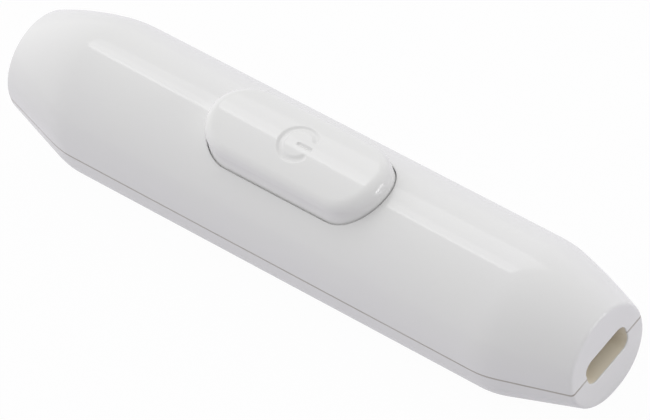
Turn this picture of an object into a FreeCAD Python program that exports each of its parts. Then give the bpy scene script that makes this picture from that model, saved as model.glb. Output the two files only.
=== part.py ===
import FreeCAD, Part
import Sketcher
import math
import os

# An inline cord switch: a slim two-part casing with a tapered cable entry at each end and a long
# push button on top. Inside, a push-on, push-off latch closes both poles.
# Millimetres. X runs along the cord, Z is up, and the underside rests on Z = 0.

# Driving dimensions: name, value and what it is

DIMENSIONS = [
    ("body_length", 84, "casing, end face to end face"),
    ("body_radius", 9.3, "half width of the casing at the seam"),
    ("crown_height", 9.25, "top of the casing above the seam"),
    ("seam_height", 7.2, "seam above the flat underside"),
    ("haunch_radius", 5.7, "rounding between the sides and the underside"),
    ("rim_radius", 6.4, "round end face"),
    ("rim_corner", 6.1, "rounding of the lower half at the end face"),
    ("taper_length", 10.6, "length of each tapered end"),
    ("taper_bulge", 1.85, "power that rounds the top of the taper, 1 is straight"),
    ("shell_wall", 1.5, "wall of both casing halves"),
    ("end_wall", 1.6, "wall of the casing at the end faces"),
    ("rim_round", 0.5, "rounding around the end faces"),
    ("rim_angle", 16, "angle at which that rounding leaves the taper, degrees"),
    ("seam_chamfer", 0.14, "chamfer of the lower half along the seam"),
    ("cord_width", 7.2, "flat cord, wide way"),
    ("cord_thickness", 3.6, "flat cord, thin way"),
    ("entry_corner", 1.3, "corner rounding of the cable entry"),
    ("lip_height", 0.8, "locating lip of the lower half above the seam"),
    ("lip_thickness", 0.6, "locating lip"),
    ("lip_gap", 0.1, "room around the locating lip"),
    ("lip_length", 52, "locating lip along the casing"),
    ("button_length", 25.0, "push button, end to end"),
    ("button_width", 10.2, "push button, side to side"),
    ("button_gap", 0.18, "gap between the button and the casing, all round"),
    ("button_radius", 11.9, "rounded top of the button, about the seam's centre line"),
    ("button_edge", 1.3, "rounding of the button's top edge"),
    ("button_wall", 1.1, "side wall of the button"),
    ("button_roof", 1.5, "top wall of the button"),
    ("button_travel", 2.2, "full press of the button"),
    ("flange_width", 0.9, "flange that keeps the button in, beyond its wall"),
    ("flange_height", 1.0, "thickness of that flange"),
    ("stop_gap", 0.05, "gap between the flange and its stop at rest"),
    ("collar_height", 11.9, "underside of the collar that stops the flange"),
    ("collar_wall", 1.2, "collar around the button opening"),
    ("collar_top", 16.5, "collar before it is trimmed to the casing's outside"),
    ("symbol_radius", 2.1, "middle of the ring in the standby symbol"),
    ("symbol_line", 0.55, "width of the symbol's engraved line"),
    ("symbol_depth", 0.3, "depth of the symbol at the button's centre line"),
    ("symbol_gap", 38, "half angle of the opening in the ring, degrees"),
    ("symbol_bar_start", 0.3, "near end of the symbol's bar from the ring's centre"),
    ("symbol_bar_end", 2.35, "far end of the symbol's bar from the ring's centre"),
    ("plate_height", 1.2, "plunger plate"),
    ("plate_length", 23.0, "plunger plate, end to end"),
    ("plate_width", 9.8, "plunger plate, side to side"),
    ("pad_height", 1.6, "raised part of the plunger inside the button"),
    ("fit_gap", 0.05, "close gap between pieces that are fitted together"),
    ("rib_width", 1.0, "ribs under the button's roof that bear on the plunger"),
    ("rib_offset", 7.0, "ribs from the middle of the button"),
    ("cam_width", 5.6, "cam slab of the plunger along the casing"),
    ("cam_thickness", 2.0, "cam slab across the casing"),
    ("cam_reach", 4.2, "cam slab below the plunger plate"),
    ("track_depth", 0.8, "heart-shaped track in the cam slab"),
    ("track_lane", 1.1, "each lane of the track from the slab's middle"),
    ("track_gap", 0.15, "room between the latch pin and the track's sides"),
    ("track_end_gap", 0.12, "room between the latch pin and the track's ends"),
    ("latch_travel", 1.7, "press at which the button stays down"),
    ("pin_radius", 0.3, "latch pin wire"),
    ("pin_arm", 3.6, "latch pin, pivot to tip"),
    ("pin_pivot_height", 3.1, "latch pin pivot above the underside"),
    ("pin_bend", 0.45, "bends of the latch pin, at the wire's middle"),
    ("pin_side_gap", 0.3, "gap between the latch pin's arm and the cam slab"),
    ("pin_hole_gap", 0.04, "running gap around the latch pin's pivot"),
    ("lug_width", 2.2, "lug that carries the latch pin, along the casing"),
    ("lug_thickness", 1.2, "that lug, across the casing"),
    ("lug_crown", 0.9, "lug above the pin's pivot"),
    ("spring_offset", 8.2, "return springs from the middle of the casing"),
    ("spring_radius", 1.5, "return spring, to the middle of its wire"),
    ("spring_wire", 0.19, "return spring, radius of its wire"),
    ("spring_turns", 6, "return spring"),
    ("spigot_radius", 1.0, "spigots inside the return springs"),
    ("spigot_height", 1.5, "spigots inside the return springs"),
    ("well_radius", 2.1, "wells that hold the return springs"),
    ("pole_offset", 3.5, "each pole from the middle of the casing"),
    ("strip_width", 2.0, "contact strips"),
    ("strip_thickness", 0.5, "fixed contact strips"),
    ("strip_level", 4.0, "underside of the fixed contact strips"),
    ("finger_face", 6.4, "upright contact finger from the middle of the casing"),
    ("finger_height", 1.9, "contact finger above its strip"),
    ("bridge_thickness", 0.4, "moving bridge contacts"),
    ("bridge_leg", 2.4, "legs of the moving bridge contacts"),
    ("contact_gap", 0.08, "gap between a bridge leg and its finger"),
    ("peg_radius", 0.55, "pegs that hold the bridges to the plunger"),
    ("peg_length", 0.8, "those pegs below the plunger plate"),
    ("peg_offset", 3.0, "those pegs from the middle of the casing"),
    ("block_end", 0.8, "contact block beyond its terminals"),
    ("block_side_gap", 1.2, "between the contact block and the sides of the lower half"),
    ("block_foot_reach", 0.4, "block's underside beyond the flat floor of the lower half, each side"),
    ("block_shoulder", 3.4, "height at which the block reaches its full width"),
    ("block_top", 5.4, "top of the block's walls"),
    ("block_floor", 2.6, "floor of the block's wells"),
    ("centre_well_width", 10.4, "middle well of the block across the casing"),
    ("rest_gap", 0.05, "gap under the contact block"),
    ("terminal_room", 1.0, "between a casing screw's boss and the terminals beyond it"),
    ("terminal_length", 6.4, "terminal block along the casing"),
    ("terminal_width", 4.2, "terminal block across the casing"),
    ("terminal_height", 5.2, "terminal block"),
    ("terminal_floor", 0.55, "terminal block under the clamped strip"),
    ("window_width", 2.8, "opening for the wire in the terminal block"),
    ("window_height", 2.6, "opening for the wire in the terminal block"),
    ("barrier_thickness", 1.4, "wall between the terminals of the two poles"),
    ("barrier_height", 9.4, "top of that wall"),
    ("barrier_gap", 0.3, "between that wall and the hole for the boss"),
    ("terminal_screw_radius", 1.25, "terminal screw"),
    ("terminal_screw_head", 1.95, "head of the terminal screw"),
    ("terminal_head_height", 1.3, "head of the terminal screw"),
    ("slot_width", 0.5, "screwdriver slots"),
    ("slot_depth", 0.6, "screwdriver slots"),
    ("thread_gap", 0.04, "gap between a screw and its hole"),
    ("clamp_end_gap", 0.35, "between the clamp posts and the start of the taper"),
    ("clamp_length", 3.4, "cord clamp along the casing"),
    ("clamp_sheet", 0.6, "sheet of the cord clamp"),
    ("clamp_end", 1.25, "cord clamp beyond its screws"),
    ("clamp_squeeze", 0.1, "side room of the cord under the clamp"),
    ("clamp_post", 1.35, "posts that carry the cord clamp"),
    ("clamp_post_top", 7.6, "top of those posts"),
    ("clamp_screw_radius", 1.0, "clamp screw"),
    ("clamp_screw_head", 1.4, "head of the clamp screw"),
    ("clamp_head_height", 1.0, "head of the clamp screw"),
    ("clamp_screw_length", 4.6, "clamp screw below its head"),
    ("saddle_length", 2.0, "rib under the cord at each clamp"),
    ("boss_room", 0.3, "between the button's flange and the bosses"),
    ("boss_radius", 2.3, "bosses around the casing screws"),
    ("boss_gap", 0.1, "gap between those bosses and the contact block"),
    ("boss_joint", 5.0, "level at which the upper and lower bosses meet"),
    ("casing_screw_radius", 1.3, "casing screw"),
    ("casing_screw_head", 2.2, "countersunk head of the casing screw"),
    ("casing_screw_cone", 1.0, "cone of that head"),
    ("casing_screw_sink", 0.25, "head below the underside"),
    ("casing_screw_length", 10.0, "casing screw with its head"),
    ("screw_end_room", 0.6, "hole beyond the end of a screw"),
]


class Size:
    """A length that keeps both its present value and the expression that binds it to the sheet."""

    def __init__(self, value, text):
        self.value = value
        self.text = text

    def __add__(self, other):
        other = size_of(other)
        return Size(self.value + other.value, "(%s + %s)" % (self.text, other.text))

    def __radd__(self, other):
        return size_of(other) + self

    def __sub__(self, other):
        other = size_of(other)
        return Size(self.value - other.value, "(%s - %s)" % (self.text, other.text))

    def __rsub__(self, other):
        return size_of(other) - self

    def __mul__(self, other):
        other = size_of(other)
        return Size(self.value * other.value, "(%s * %s)" % (self.text, other.text))

    def __rmul__(self, other):
        return size_of(other) * self

    def __truediv__(self, other):
        other = size_of(other)
        return Size(self.value / other.value, "(%s / %s)" % (self.text, other.text))

    def __pow__(self, other):
        other = size_of(other)
        return Size(self.value ** other.value, "(%s ^ %s)" % (self.text, other.text))

    def __neg__(self):
        return Size(-self.value, "(-1 * %s)" % self.text)


def size_of(number):
    """Wrap a plain number, and leave a Size as it is."""
    if isinstance(number, Size):
        return number
    return Size(float(number), "%g" % number if number >= 0 else "(%g)" % number)


def root(length):
    return Size(math.sqrt(length.value), "sqrt(%s)" % length.text)


def cosine(angle):
    return Size(math.cos(math.radians(angle.value)), "cos(%s * 1 deg)" % angle.text)


def sine(angle):
    return Size(math.sin(math.radians(angle.value)), "sin(%s * 1 deg)" % angle.text)


class Sizes:
    """The driving dimensions by name, each one a Size bound to its cell."""

    def __init__(self, sheet):
        for row, (name, value, meaning) in enumerate(DIMENSIONS, start=1):
            sheet.set("A%d" % row, name)
            sheet.set("B%d" % row, str(value))
            sheet.set("C%d" % row, meaning)
            sheet.setAlias("B%d" % row, name)
            setattr(self, name, Size(float(value), "Dims.%s" % name))


doc = FreeCAD.newDocument("inline_cord_switch")
size = Sizes(doc.addObject("Spreadsheet::Sheet", "Dims"))
doc.recompute()

# Sketch helpers


def bind(target, name, length):
    """Set a property to a Size: a bound expression, or the plain number where it has no name in it."""
    length = size_of(length)
    target.setExpression(name, length.text)


def new_body(label):
    body = doc.addObject("PartDesign::Body", label)
    body.Label = label
    return body


def new_sketch(body, name, plane, offset=0):
    """A sketch on one of the body's own origin planes, moved along the plane's normal."""
    sketch = body.newObject("Sketcher::SketchObject", name)
    origin_plane = [item for item in body.Origin.OriginFeatures if item.Role == plane][0]
    sketch.AttachmentSupport = [(origin_plane, "")]
    sketch.MapMode = "FlatFace"
    bind(sketch, "AttachmentOffset.Base.z", offset)
    return sketch


def pin_coordinate(sketch, axis, geometry, point, length):
    """Fix one coordinate of a point: on the axis where it is zero, else at a bound distance."""
    length = size_of(length)
    if length.text == "0":
        line = -2 if axis == "X" else -1
        sketch.addConstraint(Sketcher.Constraint("PointOnObject", geometry, point, line))
        return
    index = sketch.addConstraint(
        Sketcher.Constraint("Distance" + axis, -1, 1, geometry, point, length.value))
    sketch.setExpression("Constraints[%d]" % index, length.text)


def pin_point(sketch, geometry, point, x, y):
    pin_coordinate(sketch, "X", geometry, point, x)
    pin_coordinate(sketch, "Y", geometry, point, y)


def add_side(sketch, start, end, arc=None):
    """One side of an outline: a straight line, or the arc (centre, sense) with sense 1 for
    counter-clockwise. Returns the side's number and its first and last point."""
    first = FreeCAD.Vector(start[0].value, start[1].value, 0)
    last = FreeCAD.Vector(end[0].value, end[1].value, 0)
    if arc is None:
        return sketch.addGeometry(Part.LineSegment(first, last), False), 1, 2
    centre_x, centre_y, sense = arc
    centre = FreeCAD.Vector(size_of(centre_x).value, size_of(centre_y).value, 0)
    circle = Part.Circle(centre, FreeCAD.Vector(0, 0, 1), (first - centre).Length)
    if sense < 0:
        first, last = last, first
    angle_first = math.atan2(first.y - centre.y, first.x - centre.x)
    angle_last = math.atan2(last.y - centre.y, last.x - centre.x)
    if angle_last <= angle_first:
        angle_last += 2 * math.pi
    index = sketch.addGeometry(Part.ArcOfCircle(circle, angle_first, angle_last), False)
    return (index, 1, 2) if sense > 0 else (index, 2, 1)


def pin_centre(sketch, index, start, end, arc):
    """Fix the one coordinate of an arc's centre that its two ends leave free."""
    centre_x, centre_y, _ = arc
    rise = abs(end[1].value - start[1].value)
    run = abs(end[0].value - start[0].value)
    axis, length = ("X", centre_x) if rise >= run else ("Y", centre_y)
    pin_coordinate(sketch, axis, index, 3, length)


def add_chain(sketch, corners, arcs, closed):
    """Sides through the corners. arcs maps a corner's number to the arc that leaves it."""
    corners = [(size_of(x), size_of(y)) for x, y in corners]
    if closed:
        corners.append(corners[0])
    pairs = list(zip(corners, corners[1:]))
    sides = [add_side(sketch, start, end, arcs.get(number))
             for number, (start, end) in enumerate(pairs)]
    for number, (index, head, tail) in enumerate(sides):
        if number + 1 < len(sides) or closed:
            next_index, next_head, _ = sides[(number + 1) % len(sides)]
            sketch.addConstraint(Sketcher.Constraint("Coincident", index, tail, next_index, next_head))
    for (index, head, tail), (start, end) in zip(sides, pairs):
        pin_point(sketch, index, head, *start)
    if not closed:
        pin_point(sketch, sides[-1][0], sides[-1][2], *corners[-1])
    for number, arc in arcs.items():
        pin_centre(sketch, sides[number][0], *pairs[number], arc)


def add_outline(sketch, corners, arcs=None):
    add_chain(sketch, corners, arcs or {}, closed=True)


def add_rectangle(sketch, x_low, x_high, y_low, y_high):
    add_outline(sketch, [(x_low, y_low), (x_high, y_low), (x_high, y_high), (x_low, y_high)])


def add_circle(sketch, x, y, radius):
    x, y, radius = size_of(x), size_of(y), size_of(radius)
    centre = FreeCAD.Vector(x.value, y.value, 0)
    circle = Part.Circle(centre, FreeCAD.Vector(0, 0, 1), radius.value)
    index = sketch.addGeometry(circle, False)
    pin_point(sketch, index, 3, x, y)
    constraint = sketch.addConstraint(Sketcher.Constraint("Radius", index, radius.value))
    sketch.setExpression("Constraints[%d]" % constraint, radius.text)


def add_stadium(sketch, length, width):
    """A slot with round ends, centred on the sketch's origin and lying along its first axis."""
    straight = (length - width) / 2
    half = width / 2
    add_outline(
        sketch,
        [(-straight, -half), (straight, -half), (straight, half), (-straight, half)],
        {1: (straight, 0, 1), 3: (-straight, 0, 1)})


# Feature helpers


def pad(body, name, plane, start, length, draw):
    """Pad what draw puts in the sketch, from the plane's offset along its normal."""
    sketch = new_sketch(body, name + "_sketch", plane, start)
    draw(sketch)
    feature = body.newObject("PartDesign::Pad", name)
    feature.Profile = sketch
    bind(feature, "Length", length)
    return feature


def pocket(body, name, plane, start, depth, draw):
    """Cut what draw puts in the sketch, from the plane's offset against its normal."""
    sketch = new_sketch(body, name + "_sketch", plane, start)
    draw(sketch)
    feature = body.newObject("PartDesign::Pocket", name)
    feature.Profile = sketch
    feature.Type = "Length"
    bind(feature, "Length", depth)
    return feature


def revolve(body, name, plane, draw):
    """Turn what draw puts in the sketch about the sketch's vertical axis."""
    sketch = new_sketch(body, name + "_sketch", plane)
    draw(sketch)
    feature = body.newObject("PartDesign::Revolution", name)
    feature.Profile = sketch
    feature.ReferenceAxis = (sketch, ["V_Axis"])
    feature.Angle = 360
    return feature


def loft(body, name, sketches, cut=False, ruled=False):
    kind = "PartDesign::SubtractiveLoft" if cut else "PartDesign::AdditiveLoft"
    feature = body.newObject(kind, name)
    feature.Profile = sketches[0]
    feature.Sections = sketches[1:]
    feature.Ruled = ruled
    return feature


def edges_where(feature, test):
    """Names of the feature's edges that pass the test."""
    return ["Edge%d" % (number + 1) for number, edge in enumerate(feature.Shape.Edges) if test(edge)]


# Sizes that several pieces share

half_length = size.body_length / 2
taper_start = half_length - size.taper_length
inside_radius = size.body_radius - size.shell_wall
button_top = size.seam_height + size.button_radius
opening_length = size.button_length + 2 * size.button_gap
opening_width = size.button_width + 2 * size.button_gap
flange_top = size.collar_height - size.stop_gap
flange_bottom = flange_top - size.flange_height
plate_top = flange_bottom - size.fit_gap
plate_bottom = plate_top - size.plate_height
pad_top = plate_top + size.pad_height
strip_top = size.strip_level + size.strip_thickness
terminal_base = size.strip_level - size.terminal_floor
terminal_top = terminal_base + size.terminal_height
pin_rest_height = size.pin_pivot_height + root(size.pin_arm ** 2 - size.track_lane ** 2)
pin_swing_rise = size.pin_arm - (pin_rest_height - size.pin_pivot_height)
pin_plane = size.cam_thickness / 2 + size.pin_side_gap + size.pin_radius
rim_depth = size.rim_round * (1 - sine(size.rim_angle))
cord_half_width = size.cord_width / 2
cord_half_thickness = size.cord_thickness / 2
boss_offset = size.button_length / 2 + size.flange_width + size.boss_room + size.boss_radius
terminal_offset = boss_offset + size.boss_radius + size.terminal_room + size.terminal_length / 2
block_half_length = terminal_offset + size.terminal_length / 2 + size.block_end
block_half_width = inside_radius - size.block_side_gap
block_half_foot = size.body_radius - size.haunch_radius + size.block_foot_reach
clamp_offset = taper_start - size.clamp_post - size.clamp_end_gap
clamp_half_span = (cord_half_width + size.clamp_squeeze + size.clamp_sheet + size.clamp_screw_head
                   + size.fit_gap)
lug_start = pin_plane + size.pin_radius + size.rest_gap

# Casing halves

TAPER_STEPS = 4
RIM_STEPS = 3


def draw_arch(half_width, height):
    """Half of a round section above the seam, as the arc through both seam points and the top."""
    centre = (height ** 2 - half_width ** 2) / (2 * height)

    def draw(sketch):
        base = size.seam_height
        add_outline(sketch, [(-half_width, base), (half_width, base)], {1: (0, base + centre, 1)})

    return draw


def draw_haunch(half_width, depth, corner, chamfer=None):
    """Half of the section below the seam: short upright sides, round haunches, a flat underside, and
    where a chamfer is given a small bevel at the seam."""

    def draw(sketch):
        top = size.seam_height
        inner = half_width - corner
        level = top - (depth - corner)
        bottom = top - depth
        corners = [(-half_width, level), (-inner, bottom), (inner, bottom), (half_width, level)]
        if chamfer is None:
            corners += [(half_width, top), (-half_width, top)]
        else:
            corners += [(half_width, top - chamfer), (half_width - chamfer, top),
                        (-(half_width - chamfer), top), (-half_width, top - chamfer)]
        add_outline(sketch, corners, {0: (-inner, level, 1), 2: (inner, level, 1)})

    return draw


def taper_widths(inset):
    """Places along the taper, as share, half width and crown height, from its root to the end."""
    stations = []
    for number in range(TAPER_STEPS + 1):
        share = number / TAPER_STEPS
        width = size.body_radius + (size.rim_radius - size.body_radius) * share
        rounded = size_of(share) ** size.taper_bulge if share > 0 else size_of(0)
        crown = size.crown_height + (size.rim_radius - size.crown_height) * rounded
        stations.append((share, width - inset, crown - inset))
    return stations


def taper_sketches(body, name, side, length, inset):
    sketches = []
    for number, (share, width, crown) in enumerate(taper_widths(inset)):
        place = side * (taper_start + length * share)
        sketch = new_sketch(body, "%s_%d" % (name, number), "YZ_Plane", place)
        draw_arch(width, crown)(sketch)
        sketches.append(sketch)
    return sketches


def draw_entry(sketch):
    """The cable entry: a flat opening with round corners, centred on the seam."""
    base = size.seam_height
    wide = cord_half_width
    tall = cord_half_thickness
    inner_y = wide - size.entry_corner
    inner_z = tall - size.entry_corner
    add_outline(
        sketch,
        [(-wide, base - inner_z), (-inner_y, base - tall), (inner_y, base - tall), (wide, base - inner_z),
         (wide, base + inner_z), (inner_y, base + tall), (-inner_y, base + tall), (-wide, base + inner_z)],
        {0: (-inner_y, base - inner_z, 1), 2: (inner_y, base - inner_z, 1),
         4: (inner_y, base + inner_z, 1), 6: (-inner_y, base + inner_z, 1)})


def cut_entries(body):
    for name, start in (("near", half_length + size.end_wall), ("far", -half_length + 2 * size.end_wall)):
        pocket(body, "entry_" + name, "YZ_Plane", start, 3 * size.end_wall, draw_entry)


def round_rims(body, draw):
    """Close each taper with a rounded rim, from the taper's own slope to the flat end face. draw
    gives the section for a distance inwards."""
    for name, side in (("near", 1), ("far", -1)):
        sketches = []
        for number in range(RIM_STEPS + 1):
            turn = size.rim_angle + (90 - size.rim_angle) * number / RIM_STEPS
            along = size.rim_round * (1 - sine(turn))
            inward = size.rim_round * (cosine(size.rim_angle) - cosine(turn))
            sketch = new_sketch(body, "rim_%s_%d" % (name, number), "YZ_Plane",
                                side * (half_length - along))
            draw(inward)(sketch)
            sketches.append(sketch)
        loft(body, "rim_" + name, sketches, ruled=True)


def make_upper_shell():
    body = new_body("upper_shell")
    pad(body, "barrel", "YZ_Plane", -taper_start, 2 * taper_start,
        draw_arch(size.body_radius, size.crown_height))
    for name, side in (("near", 1), ("far", -1)):
        sketches = taper_sketches(body, "taper_" + name, side, size.taper_length - rim_depth, 0)
        loft(body, "taper_" + name, sketches)
    round_rims(body, lambda inward: draw_arch(size.rim_radius - inward, size.rim_radius - inward))
    pocket(body, "hollow", "YZ_Plane", taper_start, 2 * taper_start,
           draw_arch(inside_radius, size.crown_height - size.shell_wall))
    for name, side in (("near", 1), ("far", -1)):
        sketches = taper_sketches(body, "hollow_" + name, side,
                                  size.taper_length - size.end_wall, size.shell_wall)
        loft(body, "hollow_" + name, sketches, cut=True)
    cut_entries(body)

    # Collar around the button opening, trimmed to the casing's outside
    collar_length = opening_length + 2 * size.collar_wall
    collar_width = opening_width + 2 * size.collar_wall
    pad(body, "collar", "XY_Plane", size.collar_height, size.collar_top - size.collar_height,
        lambda sketch: add_stadium(sketch, collar_length, collar_width))

    def draw_outside(sketch):
        base = size.seam_height
        reach = collar_width / 2 + size.body_radius
        top = base + reach
        width = size.body_radius
        centre = (size.crown_height ** 2 - width ** 2) / (2 * size.crown_height)
        add_outline(
            sketch,
            [(-width, base), (-reach, base), (-reach, top), (reach, top), (reach, base), (width, base)],
            {5: (0, base + centre, 1)})

    pocket(body, "collar_trim", "YZ_Plane", collar_length / 2, collar_length, draw_outside)

    def draw_opening(sketch):
        add_stadium(sketch, opening_length, opening_width)

    pocket(body, "button_opening", "XY_Plane", size.seam_height + size.crown_height + size.shell_wall,
           size.seam_height + size.crown_height + size.shell_wall - size.collar_height + size.shell_wall,
           draw_opening)

    # Bosses for the casing screws, from the crown down past the seam
    boss_height = size.seam_height + size.crown_height - size.shell_wall / 2 - size.boss_joint
    boss_spots = (boss_offset, -boss_offset)
    pad(body, "bosses", "XY_Plane", size.boss_joint, boss_height,
        lambda sketch: [add_circle(sketch, place, 0, size.boss_radius) for place in boss_spots])
    hole = size.casing_screw_radius + size.thread_gap
    hole_top = size.casing_screw_sink + size.casing_screw_length + size.screw_end_room
    pocket(body, "screw_holes", "XY_Plane", hole_top, hole_top,
           lambda sketch: [add_circle(sketch, place, 0, hole) for place in boss_spots])

    # Rebate that takes the lower half's lip
    def draw_rebate(sketch):
        half = size.lip_length / 2 + size.lip_gap
        inner = inside_radius - size.shell_wall / 2
        outer = inside_radius + size.lip_thickness + size.lip_gap
        for side in (1, -1):
            add_rectangle(sketch, -half, half, side * inner, side * outer)

    pocket(body, "lip_rebate", "XY_Plane", size.seam_height + size.lip_height + size.lip_gap,
           size.lip_height + size.lip_gap, draw_rebate)
    return body


def haunch_sketches(body, name, side, length, inset, chamfer=None):
    """The two ends of the lower half's taper."""
    ends = ((0, size.body_radius, size.seam_height, size.haunch_radius),
            (1, size.rim_radius, size.rim_radius, size.rim_corner))
    sketches = []
    for share, width, depth, corner in ends:
        place = side * (taper_start + length * share)
        sketch = new_sketch(body, "%s_%d" % (name, share), "YZ_Plane", place)
        draw_haunch(width - inset, depth - inset, corner - inset, chamfer)(sketch)
        sketches.append(sketch)
    return sketches


def make_lower_shell():
    body = new_body("lower_shell")
    pad(body, "trough", "YZ_Plane", -taper_start, 2 * taper_start,
        draw_haunch(size.body_radius, size.seam_height, size.haunch_radius, size.seam_chamfer))
    for name, side in (("near", 1), ("far", -1)):
        sketches = haunch_sketches(body, "taper_" + name, side, size.taper_length - rim_depth, 0,
                                   size.seam_chamfer)
        loft(body, "taper_" + name, sketches, ruled=True)
    round_rims(body, lambda inward: draw_haunch(
        size.rim_radius - inward, size.rim_radius - inward, size.rim_corner - inward,
        size.seam_chamfer))

    wall = size.shell_wall
    pocket(body, "hollow", "YZ_Plane", taper_start, 2 * taper_start,
           draw_haunch(size.body_radius - wall, size.seam_height - wall, size.haunch_radius - wall))
    for name, side in (("near", 1), ("far", -1)):
        sketches = haunch_sketches(body, "hollow_" + name, side, size.taper_length - size.end_wall, wall)
        loft(body, "hollow_" + name, sketches, cut=True, ruled=True)
    cut_entries(body)

    # Posts for the cord clamps, and a rib under the cord between them
    clamp_spots = [(sx * clamp_offset, sy * clamp_half_span) for sx in (1, -1) for sy in (1, -1)]
    floor = wall / 2

    def draw_ribs(sketch):
        for side in (1, -1):
            middle = side * clamp_offset
            half = size.saddle_length / 2
            add_rectangle(sketch, middle - half, middle + half, -cord_half_width, cord_half_width)

    pad(body, "cord_ribs", "XY_Plane", floor, size.seam_height - cord_half_thickness - floor, draw_ribs)
    pad(body, "clamp_posts", "XY_Plane", floor, size.clamp_post_top - floor,
        lambda sketch: [add_circle(sketch, x, y, size.clamp_post) for x, y in clamp_spots])

    def draw_outside(sketch):
        reach = size.body_radius + wall
        inner = size.body_radius - size.haunch_radius
        level = size.haunch_radius
        add_outline(
            sketch,
            [(-reach, level), (-reach, -wall), (reach, -wall), (reach, level),
             (size.body_radius, level), (inner, 0), (-inner, 0), (-size.body_radius, level)],
            {4: (inner, level, -1), 6: (-inner, level, -1)})

    trim_length = 2 * size.clamp_post + 2 * size.fit_gap
    for name, side in (("near", 1), ("far", -1)):
        pocket(body, "post_trim_" + name, "YZ_Plane", side * clamp_offset + trim_length / 2,
               trim_length, draw_outside)
    clamp_hole = size.clamp_screw_radius + size.thread_gap
    clamp_hole_depth = size.clamp_screw_length + size.screw_end_room
    pocket(body, "clamp_holes", "XY_Plane", size.clamp_post_top, clamp_hole_depth,
           lambda sketch: [add_circle(sketch, x, y, clamp_hole) for x, y in clamp_spots])

    # Bosses for the casing screws, drilled and countersunk from below
    boss_spots = (boss_offset, -boss_offset)
    pad(body, "bosses", "XY_Plane", floor, size.boss_joint - size.fit_gap - floor,
        lambda sketch: [add_circle(sketch, place, 0, size.boss_radius) for place in boss_spots])
    hole = size.casing_screw_radius + size.thread_gap
    pocket(body, "screw_holes", "XY_Plane", size.boss_joint, size.boss_joint,
           lambda sketch: [add_circle(sketch, place, 0, hole) for place in boss_spots])
    head = size.casing_screw_head + size.thread_gap
    sunk = size.casing_screw_sink
    for name, side in (("near", 1), ("far", -1)):
        mouth = new_sketch(body, "countersink_%s_mouth" % name, "XY_Plane", 0)
        add_circle(mouth, side * boss_offset, 0, head)
        seat = new_sketch(body, "countersink_%s_seat" % name, "XY_Plane", sunk)
        add_circle(seat, side * boss_offset, 0, head)
        neck = new_sketch(body, "countersink_%s_neck" % name, "XY_Plane", sunk + size.casing_screw_cone)
        add_circle(neck, side * boss_offset, 0, hole)
        loft(body, "countersink_" + name, [mouth, seat, neck], cut=True, ruled=True)

    # Locating lip inside both long sides
    def draw_lip(sketch):
        half = size.lip_length / 2
        for side in (1, -1):
            add_rectangle(sketch, -half, half, side * inside_radius,
                          side * (inside_radius + size.lip_thickness))

    pad(body, "locating_lip", "XY_Plane", size.seam_height - wall, size.lip_height + wall, draw_lip)
    return body


# Push button


def draw_symbol(sketch):
    """The standby symbol: an open ring with a bar in the opening, which faces the near end."""
    inner = size.symbol_radius - size.symbol_line / 2
    outer = size.symbol_radius + size.symbol_line / 2
    across = cosine(size.symbol_gap)
    up = sine(size.symbol_gap)
    add_outline(
        sketch,
        [(outer * across, outer * up), (-outer, 0), (outer * across, -outer * up),
         (inner * across, -inner * up), (-inner, 0), (inner * across, inner * up)],
        {0: (0, 0, 1), 1: (0, 0, 1), 3: (0, 0, -1), 4: (0, 0, -1)})
    half = size.symbol_line / 2
    add_rectangle(sketch, size.symbol_bar_start, size.symbol_bar_end, -half, half)


def make_push_button():
    body = new_body("push_button")
    cap_height = button_top + size.button_roof - flange_bottom
    pad(body, "cap", "XY_Plane", flange_bottom, cap_height,
        lambda sketch: add_stadium(sketch, size.button_length, size.button_width))

    def draw_outside(sketch):
        base = size.seam_height
        half = size.button_width
        top = button_top + 2 * size.button_roof
        level = base + root(size.button_radius ** 2 - half ** 2)
        add_outline(sketch, [(-half, level), (-half, top), (half, top), (half, level)], {3: (0, base, 1)})

    pocket(body, "rounded_top", "YZ_Plane", size.button_length, 2 * size.button_length, draw_outside)
    doc.recompute()
    base = body.Tip
    top_edges = edges_where(base, lambda edge: edge.BoundBox.ZMin > flange_top.value)
    rounding = body.newObject("PartDesign::Fillet", "edge_round")
    rounding.Base = (base, top_edges)
    bind(rounding, "Radius", size.button_edge)

    pad(body, "flange", "XY_Plane", flange_bottom, size.flange_height,
        lambda sketch: add_stadium(sketch, size.button_length + 2 * size.flange_width,
                                   size.button_width + 2 * size.flange_width))
    inner_length = size.button_length - 2 * size.button_wall
    inner_width = size.button_width - 2 * size.button_wall
    drop = size.button_radius - root(size.button_radius ** 2 - (inner_width / 2) ** 2)
    inner_top = button_top - size.button_roof - drop
    pocket(body, "hollow", "XY_Plane", inner_top, inner_top - flange_bottom,
           lambda sketch: add_stadium(sketch, inner_length, inner_width))

    def draw_ribs(sketch):
        half = size.rib_width / 2
        for side in (1, -1):
            middle = side * size.rib_offset
            add_rectangle(sketch, middle - half, middle + half, -inner_width / 2, inner_width / 2)

    pad(body, "ribs", "XY_Plane", pad_top + size.fit_gap, inner_top - pad_top, draw_ribs)
    pocket(body, "symbol", "XY_Plane", button_top, size.symbol_depth, draw_symbol)
    return body


# Plunger with the heart-shaped track


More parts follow.
